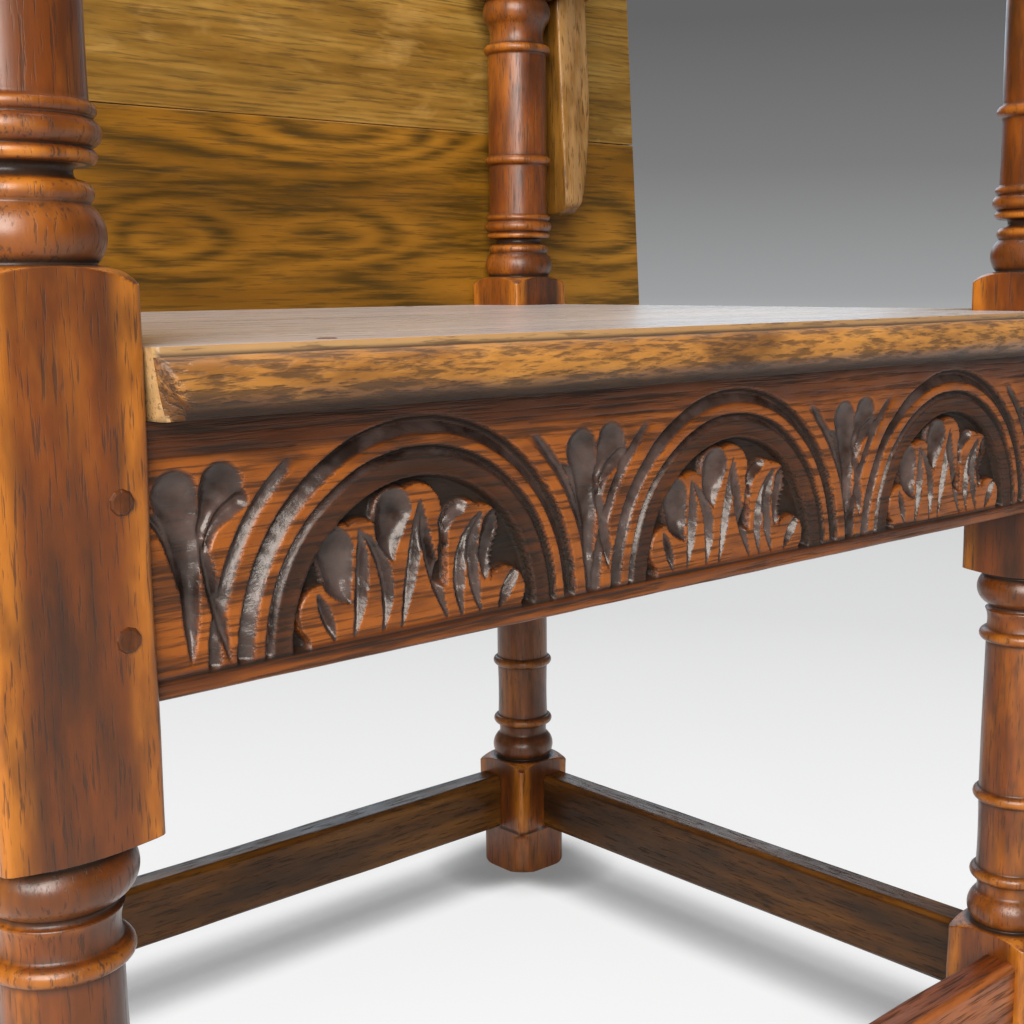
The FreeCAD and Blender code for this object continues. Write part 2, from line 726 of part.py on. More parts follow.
def make_bearer(side):
    sign = SIDES[side]
    body = new_body(f"{side}_bearer")
    points = []
    for item in bearer_outline():
        if isinstance(item[0], tuple):
            points.append(tuple((sign * x, z) for x, z in item))
        else:
            points.append((sign * item[0], item[1]))
    sketch = new_sketch(body, "FrontOutline", "XZ_Plane", closed_polyline(points))
    bind(sketch, "AttachmentOffset.Base.z", "0 - top_reach")
    pad = body.newObject("PartDesign::Pad", "Bar")
    pad.Profile = sketch
    bind(pad, "Length", "bearer_depth")
    sketch.Visibility = False
    front = size("top_reach") - size("bearer_depth")
    ends = (size("bearer_low"), size("bearer_high"))

    def at_front_end(point):
        return abs(point.y - front) < 0.01 and min(abs(point.z - end) for end in ends) < 0.01

    round_edges(body, "Noses", X_AXIS, "bearer_nose", at_front_end)
    middle_x = f"{sign} * (bearer_inner + bearer_tip / 2)"
    pivot_start = (f"{sign} * (bearer_inner - 1)", "0", "0")
    round_bar(body, "PivotHole", pivot_start, X_AXIS * sign, "bearer_thickness + 2",
              "pivot_radius + running_gap", cut=True)
    row = 0
    for number in range(BOARD_COUNT):
        for height in top_peg_heights(number):
            start = (middle_x, "top_reach - top_peg_depth", height)
            round_bar(body, f"PegHole{row}", start, Y_AXIS, "top_peg_depth + 1",
                      "peg_radius + joint_gap / 2", cut=True)
            row += 1
    lean(body)


def make_top_pegs():
    pegs = []
    for side in (-1, 1):
        for number in range(BOARD_COUNT):
            for height in top_peg_heights(number):
                start = (f"{side} * (bearer_inner + bearer_tip / 2)", "top_reach - top_peg_depth", height)
                pegs.append((start, Y_AXIS, "top_peg_depth + top_thickness", "peg_radius"))
    lean(peg_group("top_pegs", pegs))


def pivot_peg_outline():
    """Half section of a pivot peg, along its axis from the end in the post to the knob."""
    shank = size("pivot_radius")
    knob = size("knob_radius")
    face = size("bearer_inner") + size("bearer_thickness") + 2 * size("stop_gap")
    end = face + size("knob_length")
    start = size("base_width") / 2 - size("pivot_depth")
    collar = face + size("knob_length") * 0.3
    return [
        (start, 0),
        (start, shank - 1),
        (start + 1, shank),
        (face, shank),
        (face, knob * 0.8),
        (((face + collar) / 2, knob * 0.9), (collar, knob * 0.6)),
        ((collar + 0.45 * (end - collar), knob), (end, knob * 0.4)),
        (end, 0),
    ]


def make_pivot_peg(side):
    body = new_body(f"{side}_pivot_peg")
    sketch = new_sketch(body, "HalfSection", "XY_Plane", closed_polyline(pivot_peg_outline()))
    revolution = body.newObject("PartDesign::Revolution", "Turned")
    revolution.Profile = sketch
    revolution.ReferenceAxis = (sketch, ["H_Axis"])
    revolution.Angle = 360
    sketch.Visibility = False
    if side == "left":
        body.Placement.Rotation = Rotation(Z_AXIS, 180)
    place(body, "0", "post_line_y", "pivot_height")


def check_pieces():
    """Stop on a failed object, a bad shape or a cut that took nothing away."""
    for item in document.Objects:
        if "Invalid" in item.State or "Error" in item.State:
            raise RuntimeError(f"{item.Name} failed: {item.State}")
    for piece in pieces:
        if piece.Shape.isNull() or not piece.Shape.isValid():
            raise RuntimeError(f"{piece.Label} has a bad shape")
        if piece.TypeId != "PartDesign::Body":
            continue
        before = None
        for feature in piece.Group:
            if not feature.isDerivedFrom("PartDesign::Feature"):
                continue
            cuts = "Subtractive" in feature.TypeId or feature.TypeId.endswith(("Groove", "Pocket"))
            if cuts and feature.Shape.Volume >= before - 1:
                raise RuntimeError(f"{piece.Label}.{feature.Name} cut nothing")
            before = feature.Shape.Volume


def export_pieces():
    os.makedirs("parts", exist_ok=True)
    for piece in pieces:
        piece.Shape.exportStep(f"parts/{piece.Label}.step")
        print(f"{piece.Label}: {len(piece.Shape.Solids)} solid(s), {piece.Shape.Volume / 1000:.1f} cm3")


fill_sheet()
for end in ENDS:
    for side in SIDES:
        make_post(end, side)
make_seat_rail("front_apron", "X", -1)
make_seat_rail("rear_rail", "X", 1)
make_seat_rail("left_rail", "Y", -1)
make_seat_rail("right_rail", "Y", 1)
make_stretcher("front_stretcher", "X", -1)
make_stretcher("rear_stretcher", "X", 1)
make_stretcher("left_stretcher", "Y", -1)
make_stretcher("right_stretcher", "Y", 1)
make_joint_pegs()
make_seat()
for side in SIDES:
    make_arm(side)
for number in range(BOARD_COUNT):
    make_top_board(number)
for side in SIDES:
    make_bearer(side)
make_top_pegs()
for side in SIDES:
    make_pivot_peg(side)
document.recompute()
check_pieces()
export_pieces()
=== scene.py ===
import math

import bmesh
import bpy
import numpy as np
from mathutils import Matrix, Vector


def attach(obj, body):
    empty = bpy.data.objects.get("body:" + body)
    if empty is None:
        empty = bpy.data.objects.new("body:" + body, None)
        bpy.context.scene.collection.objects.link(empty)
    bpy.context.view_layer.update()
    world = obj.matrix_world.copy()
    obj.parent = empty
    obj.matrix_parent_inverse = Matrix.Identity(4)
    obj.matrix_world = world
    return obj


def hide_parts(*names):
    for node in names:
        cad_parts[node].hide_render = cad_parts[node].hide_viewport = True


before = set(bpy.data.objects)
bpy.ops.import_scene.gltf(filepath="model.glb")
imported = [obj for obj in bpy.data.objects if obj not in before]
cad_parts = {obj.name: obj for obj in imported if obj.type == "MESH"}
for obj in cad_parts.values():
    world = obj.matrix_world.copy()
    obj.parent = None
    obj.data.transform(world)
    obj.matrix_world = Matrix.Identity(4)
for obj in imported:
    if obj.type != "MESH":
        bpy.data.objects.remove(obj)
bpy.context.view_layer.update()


# The camera stands low in front of the left end of the bench, at the height of the seat,
# and looks across the apron to the rear right post.
MM = 0.001
camera_data = bpy.data.cameras.new("low_front_left")
camera_data.sensor_fit = "HORIZONTAL"
camera_data.sensor_width = 36
camera_data.lens = 51.49
camera_data.shift_x = -0.0273
camera_data.clip_start = 0.02
camera = bpy.data.objects.new("low_front_left", camera_data)
bpy.context.scene.collection.objects.link(camera)
turn_right = math.radians(42.67)
look_down = math.radians(9.01)
tilt = math.radians(-0.41)
heading = Matrix.Rotation(-turn_right, 4, "Z")
camera.matrix_world = (
    Matrix.Translation(Vector((-469.47, -630.81, 466.45)) * MM)
    @ heading
    @ Matrix.Rotation(math.radians(90) - look_down, 4, "X")
    @ Matrix.Rotation(tilt, 4, "Z")
)
bpy.context.scene.camera = camera


# The floor is a pale studio floor, and a round grey wall stands far behind it, darker towards
# its top. The wall is seen and reflected, but lets the light of the room through. The floor's seen
# glow carries a painted contact shadow under the stretchers and round the feet.
def paint(red, green, blue):
    """A colour as it is read off a paint card, made linear for the shader."""
    def linear(step):
        part = step / 255
        return part / 12.92 if part <= 0.04045 else ((part + 0.055) / 1.055) ** 2.4
    return (linear(red), linear(green), linear(blue), 1)


def grey(step):
    return paint(step, step, step)


class Nodes:
    def __init__(self, owner):
        owner.use_nodes = True
        self.tree = owner.node_tree

    def add(self, kind, sockets=None, **settings):
        node = self.tree.nodes.new(kind)
        for name, value in settings.items():
            setattr(node, name, value)
        for key, value in (sockets or {}).items():
            self.feed(node.inputs[key], value)
        return node

    def feed(self, socket, value):
        if isinstance(value, bpy.types.NodeSocket):
            self.tree.links.new(value, socket)
        else:
            socket.default_value = value

    def math(self, operation, first, second):
        return self.add("ShaderNodeMath", {0: first, 1: second}, operation=operation).outputs[0]

    def times(self, first, second):
        return self.math("MULTIPLY", first, second)

    def spread(self, value, low, high, start=0.0, end=1.0, kind="SMOOTHSTEP"):
        sockets = {0: value, 1: low, 2: high, 3: start, 4: end}
        return self.add("ShaderNodeMapRange", sockets, interpolation_type=kind).outputs[0]

    def mix(self, factor, first, second, kind="MIX"):
        sockets = {0: factor, 6: first, 7: second}
        return self.add("ShaderNodeMix", sockets, data_type="RGBA", blend_type=kind).outputs[2]

    def ramp(self, value, stops):
        node = self.add("ShaderNodeValToRGB", {0: value})
        elements = node.color_ramp.elements
        while len(elements) < len(stops):
            elements.new(0.5)
        for element, (place, colour) in zip(elements, stops):
            element.position = place
            element.color = colour
        return node.outputs[0]


def show(name, shape):
    mesh = bpy.data.meshes.new(name)
    shape.to_mesh(mesh)
    shape.free()
    shown = bpy.data.objects.new(name, mesh)
    bpy.context.scene.collection.objects.link(shown)
    return shown


def verts_in(parts):
    return [part for part in parts if isinstance(part, bmesh.types.BMVert)]


def stage_surface(name, shape):
    """A surface of the room, which is no part of the bench; gives its material."""
    surface = show(name, shape)
    material = bpy.data.materials.new(name)
    surface.data.materials.append(material)
    return material


def seen_by_eye(nodes):
    """1 where the eye meets a surface, and 0 where only light does."""
    rays = nodes.add("ShaderNodeLightPath").outputs
    seen = nodes.math("MAXIMUM", rays["Is Camera Ray"], rays["Is Glossy Ray"])
    return nodes.math("MAXIMUM", seen, rays["Is Transmission Ray"])


FLOOR_RADIUS = 9
SHADED_REACH = 4.0
WALL_RADIUS = 8.8
WALL_TOP = 4.5

floor_shape = bmesh.new()
bmesh.ops.create_circle(floor_shape, cap_ends=True, segments=96, radius=FLOOR_RADIUS)
floor_material = stage_surface("floor", floor_shape)
nodes = Nodes(floor_material)
place = nodes.add("ShaderNodeTexCoord").outputs["Object"]
reach = nodes.add("ShaderNodeVectorMath", {0: place}, operation="LENGTH").outputs["Value"]
shade = nodes.ramp(nodes.math("DIVIDE", reach, SHADED_REACH), [
    (0.0, grey(254)),
    (0.13, grey(246)),
    (0.32, grey(224)),
    (0.8, grey(206)),
])
seen = seen_by_eye(nodes)
floor_paint = nodes.tree.nodes["Principled BSDF"]
nodes.feed(floor_paint.inputs["Base Color"], nodes.mix(seen, grey(150), shade))
floor_paint.inputs["Roughness"].default_value = 0.85
floor_paint.inputs["Specular IOR Level"].default_value = 0.1
# Painted contact shadow: where the bench stands close above it, the floor's seen glow is darkened.
near = nodes.add("ShaderNodeAmbientOcclusion", {"Distance": 0.052}, samples=20).outputs["AO"]
contact_shadow = nodes.ramp(nodes.spread(near, 0.7, 1.0, kind="LINEAR"), [
    (0.0, grey(124)),
    (0.35, grey(172)),
    (0.75, grey(240)),
    (1.0, grey(255)),
])
far = nodes.spread(reach, 1.2, 2.0)
contact_shadow = nodes.mix(far, contact_shadow, grey(255))
shadowed_glow_colour = nodes.mix(1.0, shade, contact_shadow, "MULTIPLY")
glow = nodes.add("ShaderNodeEmission", {"Color": shadowed_glow_colour}).outputs[0]
share = nodes.times(seen, 0.85)
floor_mix = nodes.add("ShaderNodeMixShader", {0: share, 1: floor_paint.outputs[0], 2: glow}).outputs[0]
nodes.feed(nodes.tree.nodes["Material Output"].inputs["Surface"], floor_mix)

wall_shape = bmesh.new()
bmesh.ops.create_circle(wall_shape, segments=96, radius=WALL_RADIUS)
raised = bmesh.ops.extrude_edge_only(wall_shape, edges=wall_shape.edges[:])["geom"]
bmesh.ops.translate(wall_shape, verts=verts_in(raised), vec=(0, 0, WALL_TOP))
wall_material = stage_surface("wall", wall_shape)
nodes = Nodes(wall_material)
nodes.tree.nodes.remove(nodes.tree.nodes["Principled BSDF"])
place = nodes.add("ShaderNodeTexCoord").outputs["Object"]
height = nodes.add("ShaderNodeSeparateXYZ", {0: place}).outputs["Z"]
rise = nodes.math("DIVIDE", height, WALL_TOP)
shade = nodes.ramp(rise, [
    (0.0, grey(190)),
    (0.08, paint(158, 159, 160)),
    (0.26, grey(124)),
    (0.46, grey(100)),
])
seen = seen_by_eye(nodes)
glow = nodes.add("ShaderNodeEmission", {"Color": shade}).outputs[0]
clear = nodes.add("ShaderNodeBsdfTransparent").outputs[0]
wall_mix = nodes.add("ShaderNodeMixShader", {0: seen, 1: clear, 2: glow}).outputs[0]
nodes.feed(nodes.tree.nodes["Material Output"].inputs["Surface"], wall_mix)


# The light comes from an even white room, a soft lamp above and a broad one like a window on the
# left. A small cool lamp fills the front, and a weak bluish one stands behind the bench.
world = bpy.data.worlds.new("room")
bpy.context.scene.world = world
nodes = Nodes(world)
background = nodes.tree.nodes["Background"]
background.inputs["Color"].default_value = (1, 1, 1, 1)
background.inputs["Strength"].default_value = 0.14
bpy.context.scene.view_settings.view_transform = "Standard"


def soft_lamp(name, place, aim, size, power, colour=(1, 1, 1)):
    data = bpy.data.lights.new(name, "AREA")
    data.shape = "RECTANGLE"
    data.size, data.size_y = size
    data.energy = power
    data.color = colour
    lamp = bpy.data.objects.new(name, data)
    bpy.context.scene.collection.objects.link(lamp)
    way = Vector(aim) - Vector(place)
    lamp.matrix_world = Matrix.Translation(place) @ way.to_track_quat("-Z", "Y").to_matrix().to_4x4()
    lamp.visible_camera = False


soft_lamp("overhead", (0.1, 0.2, 3.1), (0, 0, 0.4), (1.4, 1.2), 46)
soft_lamp("window_left", (-2.1, -1.8, 1.8), (0, 0, 0.45), (2.2, 2.0), 156)
soft_lamp("window_front", (-1.7, -2.2, 1.0), (0, 0, 0.5), (0.8, 0.9), 15, (0.9, 0.95, 1.0))
soft_lamp("window_behind", (1.9, 2.4, 1.5), (0, 0, 0.45), (2.6, 1.2), 18, (0.7, 0.86, 1.0))


# The posts are turned from 51 mm squares of oak. They stay square at the joints, with beads, hollows
# and plain shafts between them, and a round pin on top holds the arm.
POST_SQUARE = 51
BASE_WIDTH = 630
BASE_DEPTH = 480
POST_X = (BASE_WIDTH - POST_SQUARE) / 2
POST_Y = (BASE_DEPTH - POST_SQUARE) / 2
OVER_CORNER = 0.75 * POST_SQUARE


def arc(start, middle, end, step):
    """Points on the circle through three points, after the first one."""
    (ax, ay), (bx, by), (cx, cy) = start, middle, end
    cross = 2 * (ax * (by - cy) + bx * (cy - ay) + cx * (ay - by))
    if abs(cross) < 1e-6:
        count = max(1, round(math.dist(start, end) / step))
        return [(ax + (cx - ax) * k / count, ay + (cy - ay) * k / count) for k in range(1, count + 1)]
    a2, b2, c2 = ax * ax + ay * ay, bx * bx + by * by, cx * cx + cy * cy
    ox = (a2 * (by - cy) + b2 * (cy - ay) + c2 * (ay - by)) / cross
    oy = (a2 * (cx - bx) + b2 * (ax - cx) + c2 * (bx - ax)) / cross
    radius = math.dist((ox, oy), start)
    first = math.atan2(ay - oy, ax - ox)
    via = (math.atan2(by - oy, bx - ox) - first) % math.tau
    sweep = (math.atan2(cy - oy, cx - ox) - first) % math.tau
    if via > sweep:
        sweep -= math.tau
    count = max(3, round(abs(sweep) * radius / step))
    angles = [first + sweep * k / count for k in range(1, count + 1)]
    return [(ox + radius * math.cos(angle), oy + radius * math.sin(angle)) for angle in angles]


SHOULDER = 9
NECK = 22.5


def turned_part(line, low, high, first_radius, cuts):
    """A turning between two squares: each cut is its height, crest radius and end radius."""
    line.append((OVER_CORNER, low - SHOULDER))
    line += arc((OVER_CORNER, low - SHOULDER), (30, low - SHOULDER / 4), (first_radius, low), 0.9)
    height = low
    radius = first_radius
    for rise, crest, end in cuts:
        line += arc((radius, height), (crest, height + rise / 2), (end, height + rise), 1.1)
        height += rise
        radius = end
    line.append((NECK, high))
    line += arc((NECK, high), (28.5, high + 1.2), (OVER_CORNER, high + 3), 0.9)


def square_part(line, low, high):
    count = max(2, round((high - low) / 4))
    line += [(OVER_CORNER, low + (high - low) * k / count) for k in range(1, count)]


BELOW_SEAT = [
    (18.5, 23.8, 18.9), (8, 18.5, 19.6), (7, 23.1, 19.6), (41, 19.2, 19.7), (7, 23.1, 19.8),
    (88.5, 19.6, 19.1), (7, 23.1, 19.4), (11.5, 18.8, 20.2), (3, 18, 19.4), (17.5, 25.3, 21.4),
]
ABOVE_SEAT = [
    (17.5, 25.3, 21), (6.5, 22.4, 18.2), (4.5, 16.6, 20.6), (4.6, 23.8, 21.6), (8.4, 25.3, 22.4),
    (4.6, 24.2, 22), (36.4, 21.8, 21.9),
    (7, 24.9, 21.9), (73.5, 22.1, 21.9), (7, 24.9, 21), (14.5, 20, 22), (17.5, 25.3, 22),
]
BELOW_TURNING = (90, 300)
ABOVE_TURNING = (469, 672)
TOP_SQUARE_END = 708
PIN_RADIUS = 11
PIN_TOP = 732

# The line of a post, as radius and height, from the middle of its foot to the top of its pin.
post_line = [(0, 0), (27.5, 0)]
post_line += arc((27.5, 0), (29.95, 1.05), (31, 3.5), 0.9)
post_line += arc((31, 3.5), (31, 16), (31, 28), 3)
post_line += arc((31, 28), (32.5, 31.5), (OVER_CORNER, 33), 0.9)
square_part(post_line, 33, BELOW_TURNING[0] - SHOULDER)
turned_part(post_line, *BELOW_TURNING, 20.3, BELOW_SEAT)
square_part(post_line, BELOW_TURNING[1] + 3, ABOVE_TURNING[0] - SHOULDER)
turned_part(post_line, *ABOVE_TURNING, 21.9, ABOVE_SEAT)
square_part(post_line, ABOVE_TURNING[1] + 3, TOP_SQUARE_END)
post_line += [(OVER_CORNER, TOP_SQUARE_END), (PIN_RADIUS, TOP_SQUARE_END)]
post_line += [(PIN_RADIUS, PIN_TOP - 0.8), (PIN_RADIUS - 0.8, PIN_TOP), (0, PIN_TOP)]


def lathe(points, axis, steps):
    """Turns a line of points once round an axis through the origin."""
    shape = bmesh.new()
    line = [shape.verts.new(point) for point in points]
    edges = [shape.edges.new(pair) for pair in zip(line, line[1:])]
    bmesh.ops.spin(shape, geom=line + edges, axis=axis, cent=(0, 0, 0), angle=math.tau, steps=steps,
                   use_merge=True)
    bmesh.ops.remove_doubles(shape, verts=shape.verts[:], dist=0.001)
    return shape


def ripple(seed, *places, waves=7):
    """Repeatable unevenness between about -1 and 1: a few sine waves added up."""
    draw = np.random.default_rng(seed)
    total = 0
    for _ in range(waves):
        slopes = draw.normal(size=len(places))
        phase = draw.uniform(0, math.tau)
        total = total + np.sin(sum(slope * place for slope, place in zip(slopes, places)) + phase)
    return total / math.sqrt(waves)


def square_reach(angle, half, corner):
    """How far the outline of a square with round corners is from its middle."""
    across = np.abs(np.cos(angle))
    along = np.abs(np.sin(angle))
    flat = half / np.maximum(across, along)
    inner = half - corner
    root = (inner * (across + along)) ** 2 - 2 * inner ** 2 + corner ** 2
    rounded = inner * (across + along) + np.sqrt(np.maximum(root, 0))
    return np.where(np.minimum(across, along) * flat > inner, rounded, flat)


def points_of(piece):
    flat = np.empty(len(piece.data.vertices) * 3)
    piece.data.vertices.foreach_get("co", flat)
    return flat.reshape(-1, 3) / MM


def set_points(piece, points):
    piece.data.vertices.foreach_set("co", (points * MM).ravel())
    piece.data.update()


def set_share(piece, name, share):
    piece.data.attributes.new(name, "FLOAT", "POINT").data.foreach_set("value", share)


def set_wear_and_painted_light(piece, wear_and_painted_light):
    """Rubbed places and painted highlights are above 0; old wax, dirt and painted shade are below it."""
    set_share(piece, "wear_and_painted_light", np.clip(wear_and_painted_light, -1, 1))


def finish(name, shape, slot, material, body="frame", smooth=True):
    """Turns a bmesh in millimetres into a piece that stands for its CAD node."""
    bmesh.ops.recalc_face_normals(shape, faces=shape.faces[:])
    bmesh.ops.scale(shape, vec=(MM, MM, MM), verts=shape.verts[:])
    piece = show(name, shape)
    piece.data.polygons.foreach_set("use_smooth", [smooth] * len(piece.data.polygons))
    piece.data.materials.append(material)
    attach(piece, body)
    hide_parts(name)
    return piece


class WoodNodes(Nodes):
    """The parts of the look of old oak, with its grain along X, Y or Z of the object."""

    def __init__(self, material, along, shift):
        super().__init__(material)
        turns = {"X": (0, 0, 0), "Y": (0, 0, -math.pi / 2), "Z": (0, math.pi / 2, 0)}
        self.place = self.add("ShaderNodeTexCoord").outputs["Object"]
        turned = {0: self.place, "Location": shift, "Rotation": turns[along]}
        self.grain = self.add("ShaderNodeMapping", turned).outputs[0]

    def streaks(self, lengthways, across, detail=3.0, roughness=0.55, distortion=0.0):
        """Noise drawn out along the grain."""
        stretch = {0: self.grain, 1: (lengthways, across, across)}
        drawn = self.add("ShaderNodeVectorMath", stretch, operation="MULTIPLY").outputs[0]
        sockets = {"Vector": drawn, "Scale": 1.0, "Detail": detail, "Roughness": roughness,
                   "Distortion": distortion}
        return self.add("ShaderNodeTexNoise", sockets).outputs[0]

    def hill(self, x, z, length, height, weight):
        """A hill in the field, round which the rings close to an eye."""
        sockets = {0: self.place, "Location": (-x / length, 0, -z / height),
                   "Scale": (1 / length, 0, 1 / height)}
        off = self.add("ShaderNodeMapping", sockets).outputs[0]
        away = self.add("ShaderNodeVectorMath", {0: off, 1: off}, operation="DOT_PRODUCT")
        return self.times(self.math("POWER", 0.37, away.outputs["Value"]), weight)

    def late_wood(self, figure, eyes, waver):
        """The dark lines of the growth rings."""
        lengthways, across, rings, strength = figure
        field = self.streaks(lengthways, across, 1.6, 0.45, 0.25)
        for eye in eyes:
            field = self.math("ADD", field, self.hill(*eye))
        field = self.times(field, rings)
        contour = self.math("ADD", field, self.times(self.streaks(4, 40, 2.0), waver))
        ring = self.math("PINGPONG", contour, 0.5)
        broken = self.spread(self.streaks(22, 300), 0.36, 0.6, 0.4, 1.0)
        lines = self.times(self.spread(ring, 0.0, 0.5, 1.0, 0.0), broken)
        return self.times(lines, strength)

    def stains(self, patch, stain):
        patches = self.spread(self.streaks(patch[0], patch[1], 4.0, 0.6), 0.46, 0.76)
        spots = self.spread(self.streaks(34, 120, 3.0, 0.6), 0.56, 0.74, 0.0, 0.7)
        return self.times(self.math("MAXIMUM", patches, spots), stain)

    def silver_grain(self, flecks):
        rays = self.spread(self.streaks(22, 60, 3.0, 0.6, 0.4), 0.5, 0.74)
        band = self.spread(self.streaks(5, 14, 2.0), 0.4, 0.62)
        return self.times(self.times(rays, band), flecks)

    def rub_and_highlight(self, wear_and_painted_light, uneven, open_pores):
        worn = self.times(self.spread(wear_and_painted_light, 0.0, 1.0), self.spread(uneven, 0.35, 0.6, 0.3, 1.0))
        return self.times(worn, self.spread(open_pores, 0.0, 1.0, 0.75, 0.2))

    def tooled(self, colour, shine, height):
        """Gouge cuts are glossy and finely rippled; their dark grey is old wax plus painted shade and sheen.
        """
        cut = self.add("ShaderNodeAttribute", attribute_name="cut").outputs["Fac"]
        cut_shade_and_sheen = self.ramp(self.streaks(60, 60), [(0.35, paint(26, 20, 18)), (0.62, paint(72, 60, 56))])
        colour = self.mix(self.times(cut, 0.9), colour, cut_shade_and_sheen)
        shine = self.mix(cut, shine, (0.27, 0.27, 0.27, 1))
        height = self.times(height, self.spread(cut, 0.0, 1.0, 1.0, 0.15))
        height = self.math("ADD", height, self.times(self.streaks(420, 420, 2.0), 0.35))
        return colour, shine, height

    def wax(self, colour, shine, height, relief, coat, sheen):
        surface = self.tree.nodes["Principled BSDF"].inputs
        self.feed(surface["Base Color"], colour)
        self.feed(surface["Roughness"], shine)
        surface["Specular IOR Level"].default_value = 0.38
        surface["Specular Tint"].default_value = (1.0, 0.88, 0.76, 1.0)
        surface["Coat Weight"].default_value = coat[0]
        surface["Coat Roughness"].default_value = coat[1]
        surface["Sheen Weight"].default_value = sheen
        surface["Sheen Roughness"].default_value = 0.35
        surface["Sheen Tint"].default_value = (0.8, 0.9, 1.0, 1.0)
        bump = {"Height": height, "Strength": relief, "Distance": 0.0006}
        self.feed(surface["Normal"], self.add("ShaderNodeBump", bump).outputs[0])


def oak(name, along, deep, middle, bright, shift=(0, 0, 0), tone=(1.5, 22), figure=(1.6, 11, 26, 0.35),
        stain=0.35, patch=(13, 34), flecks=0.0, rubbed_and_painted_light=(196, 116, 44), grime_and_shade=(34, 22, 14),
        gloss=(0.3, 0.46), pore=0.6, pores=(60, 800, 0.54, 0.66), relief=0.3, coat=(0.0, 0.16),
        sheen=0.0, eyes=(), waver=0.6, cuts=False):
    """Old waxed oak: three tones of wood, grime and painted shade where it is dark, and another
    tone where it is rubbed or carries a painted highlight.

    tone, figure, patch and pores begin with the waves in a metre along and across the grain.
    """
    material = bpy.data.materials.new(name)
    wood = WoodNodes(material, along, shift)
    dark = paint(*grime_and_shade)
    base = wood.ramp(wood.streaks(tone[0], tone[1], 5.0, 0.6), [
        (0.3, paint(*deep)), (0.5, paint(*middle)), (0.7, paint(*bright)),
    ])
    colour = wood.mix(wood.late_wood(figure, eyes, waver), base, dark)
    open_pores = wood.spread(wood.streaks(pores[0], pores[1], 3.0, 0.6), pores[2], pores[3])
    pore_shade = wood.times(open_pores, pore)
    colour = wood.mix(pore_shade, colour, dark)
    colour = wood.mix(wood.stains(patch, stain), colour, dark)
    if flecks:
        colour = wood.mix(wood.silver_grain(flecks), colour, paint(*rubbed_and_painted_light))

    wear_and_painted_light = wood.add("ShaderNodeAttribute", attribute_name="wear_and_painted_light").outputs["Fac"]
    uneven = wood.streaks(26, 90)
    colour = wood.mix(wood.rub_and_highlight(wear_and_painted_light, uneven, open_pores), colour, paint(*rubbed_and_painted_light))
    # Below 0, grime is mixed in; on the apron and the nosing this is painted shade.
    dirt_and_shade = wood.spread(wear_and_painted_light, 0.0, -1.0)
    colour = wood.mix(wood.times(dirt_and_shade, 0.92), colour, dark)
    shine = wood.spread(uneven, 0.3, 0.7, gloss[0], gloss[1], "LINEAR")
    dull = wood.times(wood.math("MAXIMUM", pore_shade, dirt_and_shade), 0.42)
    shine = wood.math("ADD", shine, dull)
    height = wood.math("SUBTRACT", wood.streaks(9, 160, 4.0), wood.times(open_pores, 0.8))
    if cuts:
        colour, shine, height = wood.tooled(colour, shine, height)
    wood.wax(colour, shine, height, relief, coat, sheen)
    return material


post_oak = oak("turned oak", "Z", (58, 24, 2), (114, 54, 6), (170, 96, 22), tone=(8, 24), stain=0.75,
               patch=(13, 24), gloss=(0.34, 0.46), grime_and_shade=(36, 20, 8), rubbed_and_painted_light=(192, 114, 30), coat=(0.5, 0.3))
SHIFT_HEIGHTS = (230, 300, 385, 469, 520, 620)


def depth_in_turning(line, z):
    """How far the line lies inside its own smoothed course."""
    heights = np.arange(0, PIN_TOP + 1, 0.5)
    outline = np.interp(heights, [height for _, height in line], [min(radius, 27) for radius, _ in line])
    window = np.ones(17) / 17
    smooth = np.convolve(np.pad(outline, 8, mode="edge"), window, mode="valid")
    return np.interp(z, heights, smooth - outline)


def make_post(name, across, along, seed, shifts=(0, 0, 0, 0, 0, 0)):
    """Turns a post too wide, then cuts its squares. The shifts move parts of its turning."""
    line = [(radius, height + np.interp(height, SHIFT_HEIGHTS, shifts)) for radius, height in post_line]
    shape = lathe([(radius, 0, height) for radius, height in line], (0, 0, 1), 120)
    post = finish(name, shape, "turned_oak", post_oak)

    points = points_of(post)
    x, y, z = points.T
    reach = np.hypot(x, y)
    angle = np.arctan2(y, x)
    angle = angle + 0.15 * np.sin(4 * angle)
    corner = 2.2 + 1.3 * np.abs(ripple(seed, z / 26, np.cos(angle), np.sin(angle)))
    square = square_reach(angle, POST_SQUARE / 2, corner)
    hand = 1 - 0.004 * np.abs(ripple(seed + 1, z / 30, 1.4 * np.cos(angle), 1.4 * np.sin(angle)))
    reach_now = np.minimum(reach, square) * np.where(reach > 1, hand, 1)
    points[:, 0] = across + reach_now * np.cos(angle)
    points[:, 1] = along + reach_now * np.sin(angle)

    sunk = depth_in_turning(line, z)
    wear_and_painted_light = np.where(sunk > 0, -sunk / 2.2, -sunk / 2.0)
    at_corner = np.clip((reach_now - 28.5) / 4, 0, 1)
    wear_and_painted_light = np.where(reach > square, at_corner, wear_and_painted_light)
    set_points(post, points)
    set_wear_and_painted_light(post, wear_and_painted_light)


make_post("front_left_post", -POST_X, -POST_Y, 11, shifts=(0, -2.4, 0.2, 2.6, 2.4, 0))
make_post("front_right_post", POST_X, -POST_Y, 21)
make_post("rear_left_post", -POST_X, POST_Y, 31)
make_post("rear_right_post", POST_X, POST_Y, 41)


